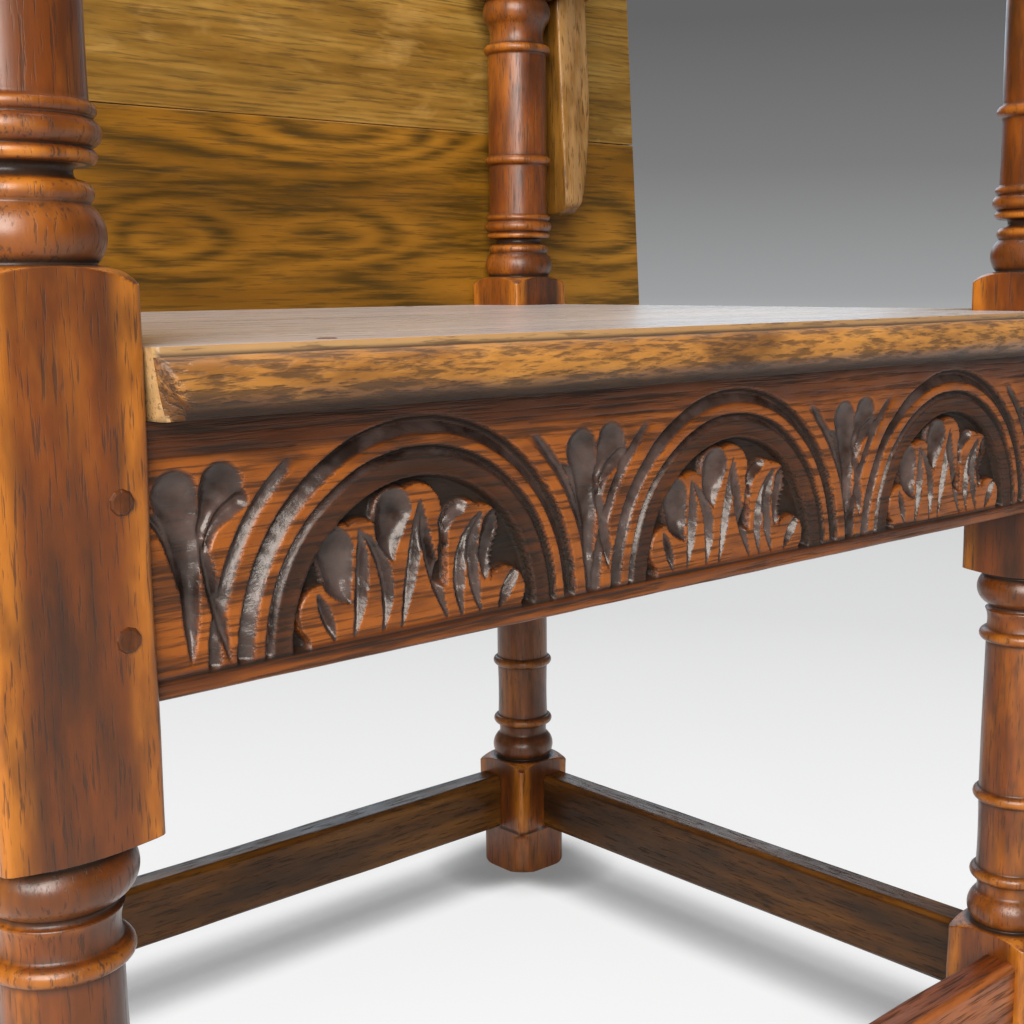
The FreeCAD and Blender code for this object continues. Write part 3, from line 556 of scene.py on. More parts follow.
# The apron is the carved board between the front posts. Three round arches stand on a scribed line,
# each over five leaves, and a small trefoil fills each space between two arches. All of it is gouged
# into the board, and its high parts are rubbed to a bright orange brown.
APRON_FACE = -POST_Y - POST_SQUARE / 2 + 5
APRON_LOW = 340
APRON_HIGH = 426
APRON_END = 264
APRON_THICK = 22
ARCH_FOOT = 346.3
ARCHES = (-160, 8, 175.5)
TREFOILS = (-248, -76, 92, 260)


def fade(value, low, high):
    """0 at low and 1 at high, which may be the smaller one."""
    part = np.clip((value - low) / (high - low), 0, 1)
    return part * part * (3 - 2 * part)


def bent_line(points, count=10):
    """A smooth line through a stroke's start, middle and end."""
    start, middle, end = (np.array(point, float) for point in points)
    via = 2 * middle - (start + end) / 2
    steps = np.linspace(0, 1, count + 1)[:, None]
    return (1 - steps) ** 2 * start + 2 * steps * (1 - steps) * via + steps ** 2 * end


def stroke(x, z, points, widths, depths, steep=2.0):
    """Depth of one cut, whose half width and depth change from its start to its end."""
    line = bent_line(points)
    nearest = np.full(x.shape, 1e3)
    part = np.zeros(x.shape)
    count = len(line) - 1
    for step in range(count):
        ax, az = line[step]
        dx, dz = line[step + 1] - line[step]
        along = np.clip(((x - ax) * dx + (z - az) * dz) / (dx * dx + dz * dz), 0, 1)
        gap = np.hypot(x - ax - along * dx, z - az - along * dz)
        closer = gap < nearest
        nearest = np.where(closer, gap, nearest)
        part = np.where(closer, (step + along) / count, part)
    stations = np.linspace(0, 1, len(widths))
    half = np.interp(part, stations, widths)
    deep = np.interp(part, stations, depths)
    return deep * np.clip(1 - (nearest / half) ** steep, 0, 1)


def gouge(x, z, points, half):
    widths = (0.7, half * 0.8, half, half * 0.9, 0.8)
    return stroke(x, z, points, widths, (0.6, 3, 4, 3.2, 0.8), 1.3)


def groove(radius, centre, half, deep, inner):
    across = radius - centre
    wide = np.where(across < 0, half * inner, half)
    return deep * np.clip(1 - np.abs(across) / wide, 0, 1) ** 0.8


ARCH_GROOVES = [(73.2, 1.5, 3.8, 3.6), (63.2, 1.1, 3.2, 2.4)]
OUTER_GROOVE = (83.5, 1.5, 2.6, 2.6)
LEAF_FOOT = 350
LEAF_BODIES = [
    (-10, 388, 9.3), (-0.5, 387, 10.6), (-33.5, 377.5, 9.6), (-25, 378.5, 9.3), (-41, 357.5, 10),
    (20.5, 380, 9.4), (28, 378, 9.4), (39.5, 353.5, 9.6),
]
LEAF_SPOONS = [
    ((-12, 372), (-13.5, 380), (-11.5, 389), 8.2), ((-30, 360), (-34.5, 367), (-36.5, 378), 8.2),
    ((12, 374), (11, 382), (17, 388), 4.2), ((29.5, 360), (31, 368), (35, 378), 7.0),
]
LEAF_GOUGES = [
    ((0.5, 391), (-2.5, 374), (-8.5, 348.5), 2.9), ((1.5, 389), (4, 371), (11.5, 348.5), 2.8),
    ((-26, 384), (-25, 368), (-28.5, 348.5), 3.0), ((-25, 383), (-15.5, 368), (-16.5, 348.5), 3.0),
    ((-43, 364), (-40, 357), (-37, 348.5), 2.4), ((27, 384), (18, 368), (18.5, 348.5), 3.0),
    ((28, 383.5), (23.5, 368), (27, 348.5), 2.9), ((45.5, 362), (41, 356), (36, 348.5), 2.9),
]
TREFOIL_SPOONS = [
    ((-2.5, 350), (-2.5, 374), (-6, 402.5), 8.8), ((1, 386), (5, 396), (10, 404), 8.4),
    ((4, 381), (6.5, 391), (16, 399), 3.8),
]
TREFOIL_GOUGES = [
    ((1.5, 392), (5.5, 372), (11, 348.5), 2.8), ((-18, 398), (-10, 391), (-6, 374), 2.2),
]


def standing_leaves(u, z):
    """The five leaves of an arch: each is a round body with a skirt."""
    leaf = fade(z, 363, 357) * fade(np.abs(u), 48, 46)
    for across, height, size in LEAF_BODIES:
        body = fade(np.hypot(u - across, z - height), size + 0.7, size - 1.2)
        foot = across * 0.84
        bend = ((across + foot) / 2, (height + LEAF_FOOT) / 2)
        skirt = stroke(u, z, ((across, height), bend, (foot, LEAF_FOOT)),
                       (size, size * 0.78, size * 0.7), (1, 1, 1), 12)
        leaf = np.maximum(leaf, np.maximum(body, fade(skirt, 0.02, 0.6)))
    return leaf


class Carving:
    """How deep the carving is at each place, and how much of it is gouged, sunk ground or dulled."""

    def __init__(self, x, z):
        self.z = z
        self.depth, self.gouged, self.sunk, self.dulled = np.zeros((4, *x.shape))
        self.from_arch = np.full(x.shape, 1e3)
        self.above_foot = fade(z, ARCH_FOOT - 0.4, ARCH_FOOT + 1.2)
        for middle in ARCHES:
            self.arch(x - middle)
        for middle in TREFOILS:
            self.trefoil(x - middle)
        self.scribed_lines()

    # The sunk share is painted dark later, as old wax and painted shade in the recesses.
    def sink(self, share):
        self.sunk = np.maximum(self.sunk, share * self.above_foot)

    def deepen(self, amount):
        self.depth = np.maximum(self.depth, amount)

    def cut(self, amount):
        """A gouge cut, which stops at the line that the arches stand on."""
        amount = amount * self.above_foot
        self.gouged = np.maximum(self.gouged, np.clip(amount / 1.4, 0, 1))
        self.deepen(amount)

    def arch(self, u):
        radius = np.hypot(u, self.z - ARCH_FOOT)
        self.from_arch = np.minimum(self.from_arch, radius)
        self.mouldings(u, radius)
        self.leaves(u, fade(radius, 54.1, 52.6))

    def mouldings(self, u, radius):
        """Two deep grooves, a third at the sides, and a dull flute."""
        for centre, half, deep, inner in ARCH_GROOVES:
            self.cut(groove(radius, centre, half, deep, inner))
            # A thin line along each groove is sunk, to be painted dark as its shade.
            self.sink(fade(np.abs(radius - centre - 0.3), 1.2, 0.5))
        lean = np.arctan2(self.z - ARCH_FOOT, np.abs(u))
        at_sides = fade(lean, 0.98, 0.72) * fade(self.z, 414, 408)
        self.cut(groove(radius, *OUTER_GROOVE) * at_sides)
        self.deepen(0.8 * np.clip(1 - ((radius - 57.3) / 4.4) ** 2, 0, 1) * self.above_foot)
        flute = fade(radius, 52, 54) * fade(radius, 62.5, 61)
        self.dulled = np.maximum(self.dulled, flute * self.above_foot)

    def leaves(self, u, field):
        """The ground is sunk round the leaves, and these are hollowed and parted."""
        leaf = standing_leaves(u, self.z)
        ground = field * (1 - leaf)
        self.sink(ground)
        self.deepen(np.maximum(5.0 * ground, field * leaf) * self.above_foot)
        for *points, half in LEAF_SPOONS:
            widths = (0.7, half * 0.72, half)
            scoop = stroke(u, self.z, points, widths, (1.4, 4.2, 3.6), 2.2)
            self.cut(field * (scoop + fade(scoop, 0, 0.5)) * leaf)
        for *points, half in LEAF_GOUGES:
            scoop = gouge(u, self.z, points, half)
            self.cut(field * (scoop + fade(scoop, 0, 0.5)))

    def trefoil(self, u):
        """Petals and stems, kept clear of the arches."""
        beside = fade(self.from_arch, 75, 77)
        for *points, half in TREFOIL_SPOONS:
            widths = (0.8, half * 0.32, half * 0.42, half * 0.8, half)
            self.cut(beside * stroke(u, self.z, points, widths, (0.6, 3.2, 3.4, 4.0, 3.4)))
        for *points, half in TREFOIL_GOUGES:
            self.cut(beside * gouge(u, self.z, points, half))

    def scribed_lines(self):
        """The arches stand on one line, and a finer one runs above them."""
        foot = 1.1 * np.clip(1 - np.abs(self.z - ARCH_FOOT) / 0.9, 0, 1)
        free = fade(self.from_arch, 84.5, 86)
        above = 0.3 * np.clip(1 - np.abs(self.z - 414.8) / 0.7, 0, 1) * free
        self.deepen(np.maximum(foot, above))
        # Both lines are sunk, to be painted dark as their shade.
        self.sunk = np.maximum(self.sunk, np.maximum(foot / 1.1, above / 0.6))


def box_blank(low, high):
    shape = bmesh.new()
    bmesh.ops.create_cube(shape, size=1)
    spans = [top - bottom for bottom, top in zip(low, high)]
    middle = [(top + bottom) / 2 for bottom, top in zip(low, high)]
    bmesh.ops.scale(shape, vec=spans, verts=shape.verts[:])
    bmesh.ops.translate(shape, vec=middle, verts=shape.verts[:])
    return shape


carved_oak = oak("carved oak", "X", (56, 25, 6), (96, 46, 12), (134, 70, 20), stain=0.6, tone=(5, 40),
                 patch=(12, 50), figure=(1.6, 22, 22, 0.2), rubbed_and_painted_light=(164, 88, 24), grime_and_shade=(13, 7, 3), pore=0.8,
                 pores=(20, 560, 0.45, 0.68), relief=0.6, gloss=(0.3, 0.42), coat=(0.15, 0.3), cuts=True)


def apron_blank():
    """A fine upright grid of 1 by 1, with a plain back."""
    shape = bmesh.new()
    bmesh.ops.create_grid(shape, x_segments=800, y_segments=118, size=0.5)
    rims = [edge for edge in shape.edges if edge.is_boundary]
    back = bmesh.ops.extrude_edge_only(shape, edges=rims)["geom"]
    back_rims = [part for part in back if isinstance(part, bmesh.types.BMEdge)]
    bmesh.ops.translate(shape, vec=(0, 0, -1), verts=verts_in(back))
    bmesh.ops.holes_fill(shape, edges=back_rims, sides=0)
    quarter_turn = Matrix.Rotation(math.radians(90), 3, "X")
    bmesh.ops.rotate(shape, cent=(0, 0, 0), matrix=quarter_turn, verts=shape.verts[:])
    return shape


def make_apron():
    apron = finish("front_apron", apron_blank(), "carved_oak", carved_oak)
    points = points_of(apron)
    x = points[:, 0] * 2 * APRON_END
    share = points[:, 2] + 0.5
    z = np.interp(share, (0, 0.06, 0.93, 1), (APRON_LOW, ARCH_FOOT - 0.8, 419, APRON_HIGH))
    front = points[:, 1] < 0.5
    carving = Carving(x, z)
    gouged = carving.gouged
    sunk = carving.sunk

    worn = 0.25 + 0.2 * ripple(5, x / 6, z / 6, waves=12)
    rough = 0.12 * ripple(6, x / 1.7, z / 1.7, waves=12) * np.clip(gouged + 2 * sunk, 0, 1)
    arris = 1.6 - np.sqrt(np.maximum(1.6 ** 2 - np.maximum(APRON_LOW + 1.6 - z, 0) ** 2, 0))
    y = APRON_FACE + np.maximum(carving.depth + rough + np.maximum(worn, 0), 0) + arris
    points[:, 0] = x
    points[:, 1] = np.where(front, y, APRON_FACE + APRON_THICK)
    points[:, 2] = z
    set_points(apron, points)

    # High parts are rubbed. Sunk ground and the groove and scribed lines are painted dark, old wax plus
    # painted shade in the recesses; the band under the nosing is unrubbed and painted dark as its shadow.
    high_part = (1 - np.clip(1.3 * gouged, 0, 1)) * (1 - sunk) * fade(z, 347, 349)
    high_part = high_part * fade(z, 417, 412)
    wear_and_painted_light = 0.85 * high_part * (1 - carving.dulled) - sunk - 0.6 * carving.dulled
    wear_and_painted_light = wear_and_painted_light + 0.5 * fade(z, 344.5, 343) - 0.4 * fade(z, 421, 425)
    set_wear_and_painted_light(apron, np.where(front, wear_and_painted_light, 0))
    cut = fade(gouged, 0.25, 0.9) * (1 - sunk)
    set_share(apron, "cut", np.where(front, cut, 0))


make_apron()


# The rails join the posts under the other three sides of the seat, and like the apron they are
# tenoned and pegged. They are plain sawn boards.
def cut_at(shape, axis, places):
    """Adds points in planes square to an axis."""
    normal = [float(k == axis) for k in range(3)]
    for place in places:
        point = [place * part for part in normal]
        bmesh.ops.bisect_plane(shape, geom=shape.verts[:] + shape.edges[:] + shape.faces[:], dist=0.001,
                               plane_co=point, plane_no=normal)


def cut_evenly(shape, axis, low, high, spacing):
    count = max(1, round((high - low) / spacing))
    cut_at(shape, axis, [low + (high - low) * step / count for step in range(1, count)])


def ease_edges(shape, edges, offset, segments):
    bmesh.ops.bevel(shape, geom=edges, offset=offset, segments=segments, profile=0.5, affect="EDGES",
                    material=-1)


def board(name, low, high, arris, slot, material, seed, body="frame", spacing=9.0, worn=1.0):
    """A board with worn arrises. The cuts beside these keep its faces flat when shaded."""
    shape = box_blank(low, high)
    ease_edges(shape, shape.edges[:], arris, 3)
    inset = arris + 1.4
    for axis in range(3):
        cut_at(shape, axis, (low[axis] + inset, high[axis] - inset))
    spans = [top - bottom for bottom, top in zip(low, high)]
    longest = spans.index(max(spans))
    cut_evenly(shape, longest, low[longest], high[longest], spacing)
    piece = finish(name, shape, slot, material, body)
    points = points_of(piece)
    low = np.array(low)
    high = np.array(high)
    middle = (low + high) / 2
    gaps = np.sort(np.minimum(points - low, high - points), axis=1)
    edge = fade(gaps[:, 1], arris + 0.6, 0.2 * arris)
    place = points.T
    dents = 0.5 + 0.5 * ripple(seed, place[0] / 33, place[1] / 33, place[2] / 33, waves=10)
    inward = edge * np.clip(dents, 0, 1.4) * 0.45 * arris * worn
    shallow = 0.12 + 0.12 * ripple(seed + 1, place[0] / 60, place[1] / 60, place[2] / 60)
    way = np.sign(middle - points) * np.isclose(np.abs(points - middle), (high - low) / 2, atol=arris + 0.2)
    cross = np.ones(3, bool)
    cross[longest] = False
    points[:, cross] += (way * np.maximum(inward + shallow, 0)[:, None])[:, cross]
    set_points(piece, points)
    set_wear_and_painted_light(piece, edge * 0.8)
    return piece


CLEAR_X = BASE_WIDTH / 2 - POST_SQUARE
CLEAR_Y = BASE_DEPTH / 2 - POST_SQUARE
LET_IN = 3
RAIL_OAK = dict(deep=(92, 54, 26), middle=(120, 74, 38), bright=(142, 92, 50), stain=0.35)
rail_oak_long = oak("rail oak", "X", **RAIL_OAK)
rail_oak_side = oak("side rail oak", "Y", shift=(0, 0.3, 0), **RAIL_OAK)


def between_posts(name, along, side, heights, arris, slot, material, seed):
    """A rail or stretcher on the side of the bench where side points."""
    gap, faces = {"X": (CLEAR_X, (213, 235)), "Y": (CLEAR_Y, (288, 310))}[along]
    ends = (-gap - LET_IN, gap + LET_IN)
    across = sorted(side * face for face in faces)
    spans = (ends, across, heights) if along == "X" else (across, ends, heights)
    low, high = zip(*spans)
    board(name, low, high, arris, slot, material, seed)


RAIL = ((340, 426), 0.9, "rail_oak")
between_posts("rear_rail", "X", 1, *RAIL, rail_oak_long, 51)
between_posts("left_rail", "Y", -1, *RAIL, rail_oak_side, 52)
between_posts("right_rail", "Y", 1, *RAIL, rail_oak_side, 53)
board("seat_bearer", (-20, -216, 390), (20, 216, 426), 1.2, "rail_oak", rail_oak_side, 54)


# The stretchers tie the posts together close to the floor. Feet have worn their upper arrises round,
# and the rear and side ones are painted darker than the rest, as painted shade under the seat.
SHADED_UNDER_SEAT = dict(deep=(44, 22, 4), middle=(84, 48, 12), bright=(132, 84, 28), tone=(4, 40), stain=0.75,
            patch=(7, 26), rubbed_and_painted_light=(120, 72, 22), grime_and_shade=(14, 8, 4), gloss=(0.26, 0.4))
shaded_long = oak("stretcher oak", "X", **SHADED_UNDER_SEAT)
shaded_side = oak("side stretcher oak", "Y", shift=(0, 0.7, 0), **SHADED_UNDER_SEAT)
front_long = oak("front stretcher oak", "X", (84, 36, 10), (132, 62, 20), (170, 96, 44), tone=(3, 40),
                 stain=0.5, rubbed_and_painted_light=(180, 104, 52), pores=(30, 500, 0.46, 0.66), pore=0.7)
STRETCHER = ((34, 77), 3, "dark_oak")
between_posts("front_stretcher", "X", -1, *STRETCHER, front_long, 61)
between_posts("rear_stretcher", "X", 1, *STRETCHER, shaded_long, 62)
between_posts("left_stretcher", "Y", -1, *STRETCHER, shaded_side, 63)
between_posts("right_stretcher", "Y", 1, *STRETCHER, shaded_side, 64)


# The seat is two boards with their grain along the bench. The front one is notched round the front
# posts, and its front edge is a round nosing under a small step. They lie on the rails and the bearer.
SEAT_LOW = 426
SEAT_TOP = 448
SEAT_SIDE = 313
SEAT_NOTCH = CLEAR_X - 0.5
SEAT_JOINT = -7
NOSING_FRONT = -252
NOSING_DEPTH = 9
NOSING_MIDDLE = 434
QUIRK_LINE = NOSING_FRONT + NOSING_DEPTH

# Its tones are paler than the wood below, partly a painted sheen of the light that grazes the seat.
seat_oak = oak("seat oak", "X", (136, 98, 56), (168, 128, 80), (194, 156, 106), shift=(0.2, 0, 0),
               stain=0.2, tone=(1.8, 26), figure=(1.1, 13, 26, 0.25), rubbed_and_painted_light=(176, 122, 60),
               grime_and_shade=(60, 40, 22), gloss=(0.24, 0.34), relief=0.1, coat=(0.4, 0.2), sheen=0.3)
nosing_oak = oak("nosing oak", "X", (78, 46, 20), (126, 80, 36), (176, 122, 56), shift=(0.2, 0, 0),
                 stain=0.5, tone=(16, 50), patch=(20, 90), figure=(3, 60, 16, 0.1),
                 rubbed_and_painted_light=(196, 132, 58), grime_and_shade=(46, 32, 20), gloss=(0.3, 0.42),
                 pores=(70, 420, 0.42, 0.64), pore=0.75, relief=1.0, coat=(0.3, 0.34), sheen=0.1)


def extruded(outline, vec):
    shape = bmesh.new()
    face = shape.faces.new([shape.verts.new(point) for point in outline])
    grown = bmesh.ops.extrude_face_region(shape, geom=[face])["geom"]
    bmesh.ops.translate(shape, vec=vec, verts=verts_in(grown))
    return shape


def slab(outline, low, high, arris, keep_sharp):
    """A board cut to an outline, with its arrises eased except where keep_sharp says."""
    shape = extruded([(x, y, low) for x, y in outline], (0, 0, high - low))
    ease_edges(shape, [edge for edge in shape.edges if not keep_sharp(edge)], arris, 2)
    return shape


def front_board_blank():
    corner = 5
    eighth = corner * (1 - math.sqrt(0.5))
    right = [(SEAT_NOTCH, -CLEAR_Y + 0.5), (SEAT_NOTCH, NOSING_FRONT + corner)]
    bend = (SEAT_NOTCH - eighth, NOSING_FRONT + eighth)
    right += arc(right[-1], bend, (SEAT_NOTCH - corner, NOSING_FRONT), 1.2)
    half = [(SEAT_SIDE, SEAT_JOINT), (SEAT_SIDE, -CLEAR_Y + 0.5)] + right
    outline = half + [(-x, y) for x, y in reversed(half)]

    def on_nosing(edge):
        near, far = sorted(vertex.co.y for vertex in edge.verts)
        return far < -CLEAR_Y or far - near > 20

    shape = slab(outline, SEAT_LOW, SEAT_TOP, 0.9, on_nosing)
    cut_at(shape, 1, [-12, -60, -110, -150, -195, -225, QUIRK_LINE + 1, QUIRK_LINE + 0.15])
    round_cuts = [math.sin(math.radians(angle)) for angle in range(0, 88, 8)]
    cut_at(shape, 1, [QUIRK_LINE - NOSING_DEPTH * part for part in round_cuts])
    cut_at(shape, 2, [428, 430.5, 433])
    cut_evenly(shape, 0, -SEAT_SIDE, SEAT_SIDE, 4)
    return shape


def round_nosing(x, y, z):
    """A worn half round under a small step."""
    dents = ripple(71, x / 24, z / 9, waves=12)
    on_top = z > SEAT_TOP - 0.01
    on_front = (y < QUIRK_LINE - 0.01) & ~on_top
    ahead = np.clip((QUIRK_LINE - y) / NOSING_DEPTH, 0, 1)
    crown = 434.8 + 10.2 * np.sqrt(np.maximum(1 - ahead ** 2.2, 0))
    side_share = np.clip((z - SEAT_LOW) / (433 - SEAT_LOW), 0, 1)
    z = np.where(on_top & (y < QUIRK_LINE + 0.01), crown, z)
    z = np.where(on_front & (z > 432), NOSING_MIDDLE, z)
    tuck = np.where(on_front, 8 * (1 - side_share) ** 1.9 * ahead, 0)

    scoops = np.maximum(ripple(72, x / 41, waves=9) - 0.9, 0)
    nosing = fade(y, QUIRK_LINE + 0.3, QUIRK_LINE - 2)
    rise = np.clip((z - SEAT_LOW) / 19, 0, 1)
    drawn_in = 9 * (1 - rise) ** 1.5 * np.clip((-240 - y) / 8, 0, 1)
    near_end = np.clip((np.abs(x) - SEAT_NOTCH + 24) / 24, 0, 1) * (y < -240)
    x = x - np.sign(x) * near_end * drawn_in
    y = y + tuck + nosing * (0.25 + 0.22 * dents + 0.5 * scoops)
    z = z - nosing * on_top * (0.15 + 0.15 * dents + 0.4 * scoops)

    on_seat = on_top & (nosing < 0.01)
    wavy = 0.12 + 0.12 * ripple(73, x / 70, y / 50)
    z = z - np.where(on_seat, np.maximum(wavy, 0), 0)
    arris = on_seat & (np.abs(y - QUIRK_LINE) < 0.6)
    z = z - np.where(arris, 0.35 + 0.3 * ripple(74, x / 15), 0)
    return x, y, z, nosing


def make_seat_front_board():
    piece = finish("seat_front_board", front_board_blank(), "seat_oak", seat_oak)
    points = points_of(piece)
    at_notch = fade(np.abs(points[:, 0]), SEAT_NOTCH - 1, SEAT_NOTCH)
    x, y, z, nosing = round_nosing(*points.T)
    set_points(piece, np.column_stack((x, y, z)))

    # The nosing is rubbed and painted with a highlight above, and painted with its shade below; the quirk is
    # painted dark as the shade in its crease, with its top arris rubbed.
    rubbed_and_painted_light = nosing * (0.7 - 1.6 * fade(z, 434.5, 428))
    quirk_rub_and_shade = np.where(z > 446.5, 0.7, -1)
    rubbed_and_painted_light = np.where(np.abs(y - QUIRK_LINE) < 0.5, quirk_rub_and_shade, rubbed_and_painted_light)
    at_end = at_notch * (y < -CLEAR_Y)
    set_wear_and_painted_light(piece, rubbed_and_painted_light * (1 - at_end))
    piece.data.materials.append(nosing_oak)
    for polygon in piece.data.polygons:
        polygon.material_index = int(polygon.center.y < (QUIRK_LINE - 0.2) * MM)


make_seat_front_board()


def make_seat_rear_board():
    right = [(SEAT_NOTCH, 238), (SEAT_NOTCH, CLEAR_Y - 0.5)]
    right += [(SEAT_SIDE, CLEAR_Y - 0.5), (SEAT_SIDE, SEAT_JOINT)]
    outline = right[::-1] + [(-x, y) for x, y in right]
    shape = slab(outline, SEAT_LOW, SEAT_TOP, 0.9, lambda edge: False)
    cut_at(shape, 1, [-2, 60, 120, 180, 232])
    cut_evenly(shape, 0, -SEAT_SIDE, SEAT_SIDE, 12)
    piece = finish("seat_rear_board", shape, "seat_oak", seat_oak)
    points = points_of(piece)
    x, y, z = points.T
    on_top = z > SEAT_TOP - 0.01
    wavy = 0.12 + 0.12 * ripple(75, x / 70, y / 50)
    points[:, 2] = z - np.where(on_top, np.maximum(wavy, 0), 0)
    set_points(piece, points)
    set_wear_and_painted_light(piece, np.where(on_top & (y < SEAT_JOINT + 1.5), -0.8, 0.0))


make_seat_rear_board()


# The arms are flat boards on the posts, with a round nose in front. Their rear end is an arc about the
# pivot, which the tilting top passes closely.
def from_node(name):
    """A merged copy of a CAD node, in millimetres."""
    shape = bmesh.new()
    shape.from_mesh(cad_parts[name].data)
    bmesh.ops.scale(shape, vec=(1000, 1000, 1000), verts=shape.verts[:])
    bmesh.ops.remove_doubles(shape, verts=shape.verts[:], dist=0.002)
    return shape


arm_oak = oak("arm oak", "Y", (96, 50, 24), (132, 74, 38), (160, 100, 54), shift=(0, 0.15, 0), stain=0.35,
              gloss=(0.22, 0.36))


def make_arm(name, side):
    shape = from_node(name)
    for edge in shape.edges:
        edge.smooth = edge.calc_face_angle(0) < math.radians(28)
    arm = finish(name, shape, "turned_oak", arm_oak)
    points = points_of(arm)
    off_middle = np.abs(points[:, 0] - side * POST_X)
    on_edge = fade(points[:, 2], 716, 733) * fade(off_middle, 21, 26)
    on_nose = fade(points[:, 1], -240, -258)
    set_wear_and_painted_light(arm, 0.7 * on_edge + 0.6 * on_nose)


make_arm("left_arm", -1)
make_arm("right_arm", 1)


# The top is five oak boards, pegged to the two bearers. It stands upright behind the rear posts and
# leans back a little, and it tilts forward over the arms to make a table. Its boards differ in grain.
PIVOT = Vector((0, 214.5, 692.5))
LEAN = Matrix.Rotation(math.radians(-3.565), 3, "X")
TOP_REACH = 41.8
TOP_DROP = 256
TOP_SIDE = 452
BOARD_WIDTH = 144
BOARD_THICK = 22


def lean_back(piece):
    pivot = Matrix.Translation(PIVOT * MM)
    piece.data.transform(pivot @ LEAN.to_4x4() @ pivot.inverted())


TOP_BOARDS = [
    dict(deep=(118, 76, 16), middle=(150, 100, 26), bright=(176, 120, 38), shift=(0.05, 0, -0.47),
         figure=(1.2, 6.5, 10, 0.8), waver=1.0, grime_and_shade=(50, 38, 8),
         eyes=((0.013, 0.496, 0.058, 0.022, 0.30), (0.137, 0.498, 0.07, 0.017, 0.24),
               (0.16, 0.578, 0.12, 0.034, 0.36), (-0.26, 0.53, 0.1, 0.03, 0.3),
               (0.4, 0.5, 0.1, 0.03, 0.22))),
    dict(deep=(124, 86, 28), middle=(156, 114, 46), bright=(180, 140, 68), shift=(0.4, 0.2, 0.1),
         tone=(6, 40), figure=(0.8, 30, 22, 0.35), flecks=0.55, rubbed_and_painted_light=(196, 152, 80)),
    dict(deep=(100, 68, 28), middle=(134, 96, 42), bright=(156, 114, 56), shift=(0.9, 0.1, 0.3),
         figure=(1.4, 12, 26, 0.55)),
    dict(deep=(106, 74, 32), middle=(138, 100, 48), bright=(160, 120, 64), shift=(1.3, 0.3, 0.2),
         figure=(1.0, 18, 22, 0.4), flecks=0.35),
    dict(deep=(96, 64, 24), middle=(132, 94, 40), bright=(154, 112, 52), shift=(1.8, 0.2, 0.5),
         figure=(1.7, 10, 28, 0.6)),
]
for number, look in enumerate(TOP_BOARDS):
    name = f"top_board_{number + 1}"
    look = dict(rubbed_and_painted_light=(176, 134, 74), grime_and_shade=(54, 38, 12)) | look
    material = oak(f"top oak {number + 1}", "X", gloss=(0.34, 0.46), pore=0.5,
                   pores=(24, 420, 0.5, 0.66), stain=0.3, **look)
    front = PIVOT.y + TOP_REACH
    low = PIVOT.z - TOP_DROP + BOARD_WIDTH * number
    corners = ((-TOP_SIDE, front, low), (TOP_SIDE, front + BOARD_THICK, low + BOARD_WIDTH))
    lean_back(board(name, *corners, 0.7, "top_oak", material, 81 + number, "top", spacing=14, worn=0.4))


# Each bearer is one thick oak bar, straight inside and thinned to both ends outside, with round noses.
# The pivot pegs pass through it, and the boards are pegged to its back.
BEARER_LOW = PIVOT.z - 177
BEARER_HIGH = PIVOT.z + 385
BEARER_TAPER = 93
BEARER_DEPTH = 56
BEARER_FRONT = PIVOT.y + TOP_REACH - BEARER_DEPTH
BEARER_INNER = 317
BEARER_NOSE = 11

# Its pale rubbed tone is partly a painted highlight.
bearer_oak = oak("bearer oak", "Z", (84, 52, 12), (126, 82, 26), (160, 112, 48), shift=(0, 0, 0.4),
                 tone=(3, 40), stain=0.4, gloss=(0.28, 0.4), rubbed_and_painted_light=(206, 164, 112))


def bearer_blank(side):
    inner, tip, outer = BEARER_INNER, 332, 347
    low, high, taper = BEARER_LOW, BEARER_HIGH, BEARER_TAPER
    bulge = tip + 0.74 * (outer - tip)
    outline = [(inner, low), (tip, low)]
    outline += arc((tip, low), (bulge, low + taper / 2), (outer, low + taper), 8)
    outline += [(outer, low + taper + (high - low - 2 * taper) * k / 20) for k in range(1, 21)]
    outline += arc((outer, high - taper), (bulge, high - taper / 2), (tip, high), 8)
    outline.append((inner, high))
    shape = extruded([(side * x, BEARER_FRONT, z) for x, z in outline], (0, BEARER_DEPTH, 0))
    sharp = [edge for edge in shape.edges if edge.calc_face_angle(0) > math.radians(30)]
    ease_edges(shape, sharp, 2, 3)
    cut_at(shape, 1, [BEARER_FRONT + step for step in (4, 6, 8, 11, 20, 35, 52)])
    cut_at(shape, 2, [low + step for step in (3, 5, 8, 11)])
    cut_at(shape, 2, [high - step for step in (3, 5, 8, 11)])
    return shape


def round_noses(y, z):
    """Rounds the front corner of both ends."""
    for end, way in ((BEARER_LOW, 1), (BEARER_HIGH, -1)):
        across = np.clip((BEARER_FRONT + BEARER_NOSE - y) / BEARER_NOSE, 0, 1)
        along = np.clip((BEARER_NOSE - (z - end) * way) / BEARER_NOSE, 0, 1)
        beyond = np.maximum(np.maximum(across, along), 1e-6)
        pull = beyond / np.maximum(np.hypot(across, along), 1e-6)
        both = (across > 0) & (along > 0)
        y = np.where(both, BEARER_FRONT + BEARER_NOSE * (1 - across * pull), y)
        z = np.where(both, end + way * BEARER_NOSE * (1 - along * pull), z)
    return y, z


def make_bearer(name, side):
    bearer = finish(name, bearer_blank(side), "top_oak", bearer_oak, "top")
    points = points_of(bearer)
    points[:, 1], points[:, 2] = round_noses(points[:, 1], points[:, 2])
    set_points(bearer, points)
    x, y, _ = points.T
    # The front face takes the pale rubbed tone, which is partly a painted highlight.
    off_edge = np.minimum(np.abs(np.abs(x) - BEARER_INNER), np.abs(y - BEARER_FRONT))
    near_front = fade(y, BEARER_FRONT + 3, BEARER_FRONT)
    set_wear_and_painted_light(bearer, 0.5 * fade(off_edge, 4, 1) * near_front)
    lean_back(bearer)


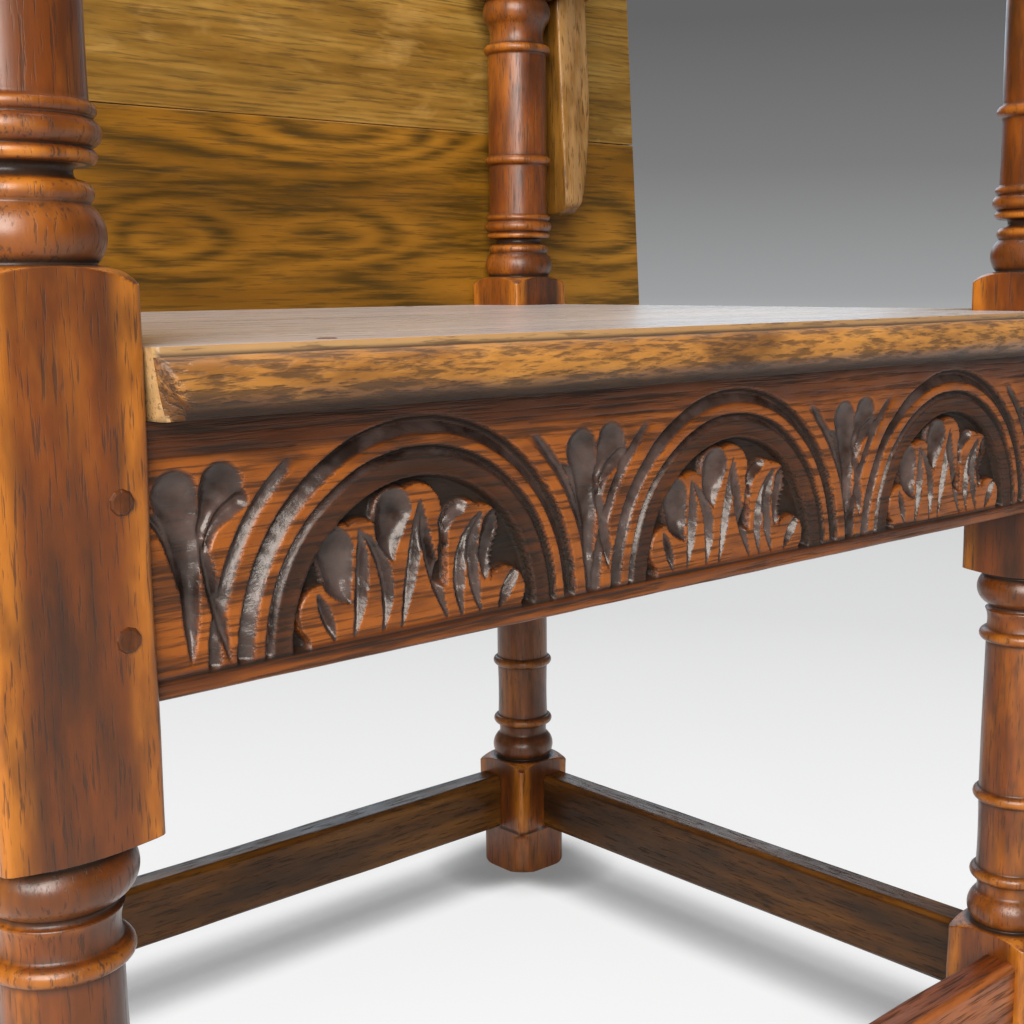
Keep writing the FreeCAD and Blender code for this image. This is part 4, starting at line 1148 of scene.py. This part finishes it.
make_bearer("left_bearer", -1)
make_bearer("right_bearer", 1)


# The pegs are cleft from dry oak and left a little proud where they hold the rails. They are cut by
# hand, so their heads have flat sides, and they have gone nearly black.
peg_oak = oak("peg oak", "Z", (48, 22, 8), (80, 40, 16), (112, 60, 26), tone=(60, 160), stain=0.5,
              rubbed_and_painted_light=(134, 74, 34), gloss=(0.28, 0.4))
PEG_RADIUS = 4.2
PEG_LENGTH = 14


def islands(shape):
    seen = set()
    for start in shape.verts:
        if start in seen:
            continue
        seen.add(start)
        group = [start]
        for vertex in group:
            others = [edge.other_vert(vertex) for edge in vertex.link_edges]
            group += [other for other in others if other not in seen]
            seen.update(others)
        yield group


def make_pegs(name, body, way_of):
    cad = from_node(name)
    shape = bmesh.new()
    draw = np.random.default_rng(len(name))
    for group in islands(cad):
        middle = sum((v.co for v in group), Vector()) / len(group)
        way = Vector(way_of(middle)).normalized()
        along = [(v.co - middle).dot(way) for v in group]
        length = min(max(along) - min(along), PEG_LENGTH)
        turned = way.to_track_quat("Z", "Y").to_matrix().to_4x4()
        spin = Matrix.Rotation(draw.uniform(0, math.tau), 4, "Z")
        centre = Matrix.Translation(middle + way * (max(along) - length / 2))
        peg = bmesh.ops.create_cone(shape, cap_ends=True, segments=9, radius1=PEG_RADIUS,
                                    radius2=PEG_RADIUS * 0.97, depth=length,
                                    matrix=centre @ turned @ spin)["verts"]
        head = [face for v in peg for face in v.link_faces if face.normal.dot(way) > 0.9]
        rim = dict.fromkeys(edge for face in head for edge in face.edges)
        ease_edges(shape, list(rim), 0.9, 2)
    cad.free()
    pegs = finish(name, shape, "peg_oak", peg_oak, body, smooth=False)
    set_wear_and_painted_light(pegs, np.full(len(pegs.data.vertices), 0.15))


def sideways(axis):
    return lambda middle: [math.copysign(k == axis, middle[k]) for k in range(3)]


for side, axis in (("front_apron", 1), ("rear_rail", 1), ("left_rail", 0), ("right_rail", 0)):
    make_pegs(f"{side}_pegs", "frame", sideways(axis))
make_pegs("seat_pegs", "frame", lambda middle: (0, 0, 1))
make_pegs("stretcher_pegs", "frame", lambda middle: sideways(0 if abs(middle.x) > 285 else 1)(middle))
make_pegs("top_pegs", "top", lambda middle: LEAN @ Vector((0, 1, 0)))


# A turned oak peg with a round knob goes through each bearer into the rear post. The top turns on
# this pair, and is taken off by pulling them out.
pivot_oak = oak("pivot peg oak", "X", (84, 44, 22), (124, 66, 34), (156, 92, 50), gloss=(0.22, 0.36))


def make_pivot_peg(name, side):
    """A pin, a collar and a round knob, drawn as places along X and their radii."""
    face, end = 347.6, 365.6
    line = [(277, 0), (277, 7), (278, 8), (face, 8), (face, 11.2)]
    line += arc((face, 11.2), (face + 2.7, 12.6), (face + 5.4, 8.4), 0.6)
    line += arc((face + 5.4, 8.4), (face + 11, 14), (end - 0.3, 5.6), 0.7)
    line += [(end, 4.6), (end, 0)]
    shape = lathe([(side * x, 0, radius) for x, radius in line], (1, 0, 0), 48)
    bmesh.ops.translate(shape, vec=(0, PIVOT.y, PIVOT.z), verts=shape.verts[:])
    peg = finish(name, shape, "peg_oak", pivot_oak)

    points = points_of(peg)
    reach = np.hypot(points[:, 1] - PIVOT.y, points[:, 2] - PIVOT.z)
    off_face = np.abs(points[:, 0]) - face
    in_neck = fade(np.abs(off_face - 5.4), 1.8, 0.4)
    wear_and_painted_light = np.where(off_face > 0, fade(reach, 11, 13.8) - in_neck, 0)
    set_wear_and_painted_light(peg, wear_and_painted_light)


make_pivot_peg("left_pivot_peg", -1)
make_pivot_peg("right_pivot_peg", 1)
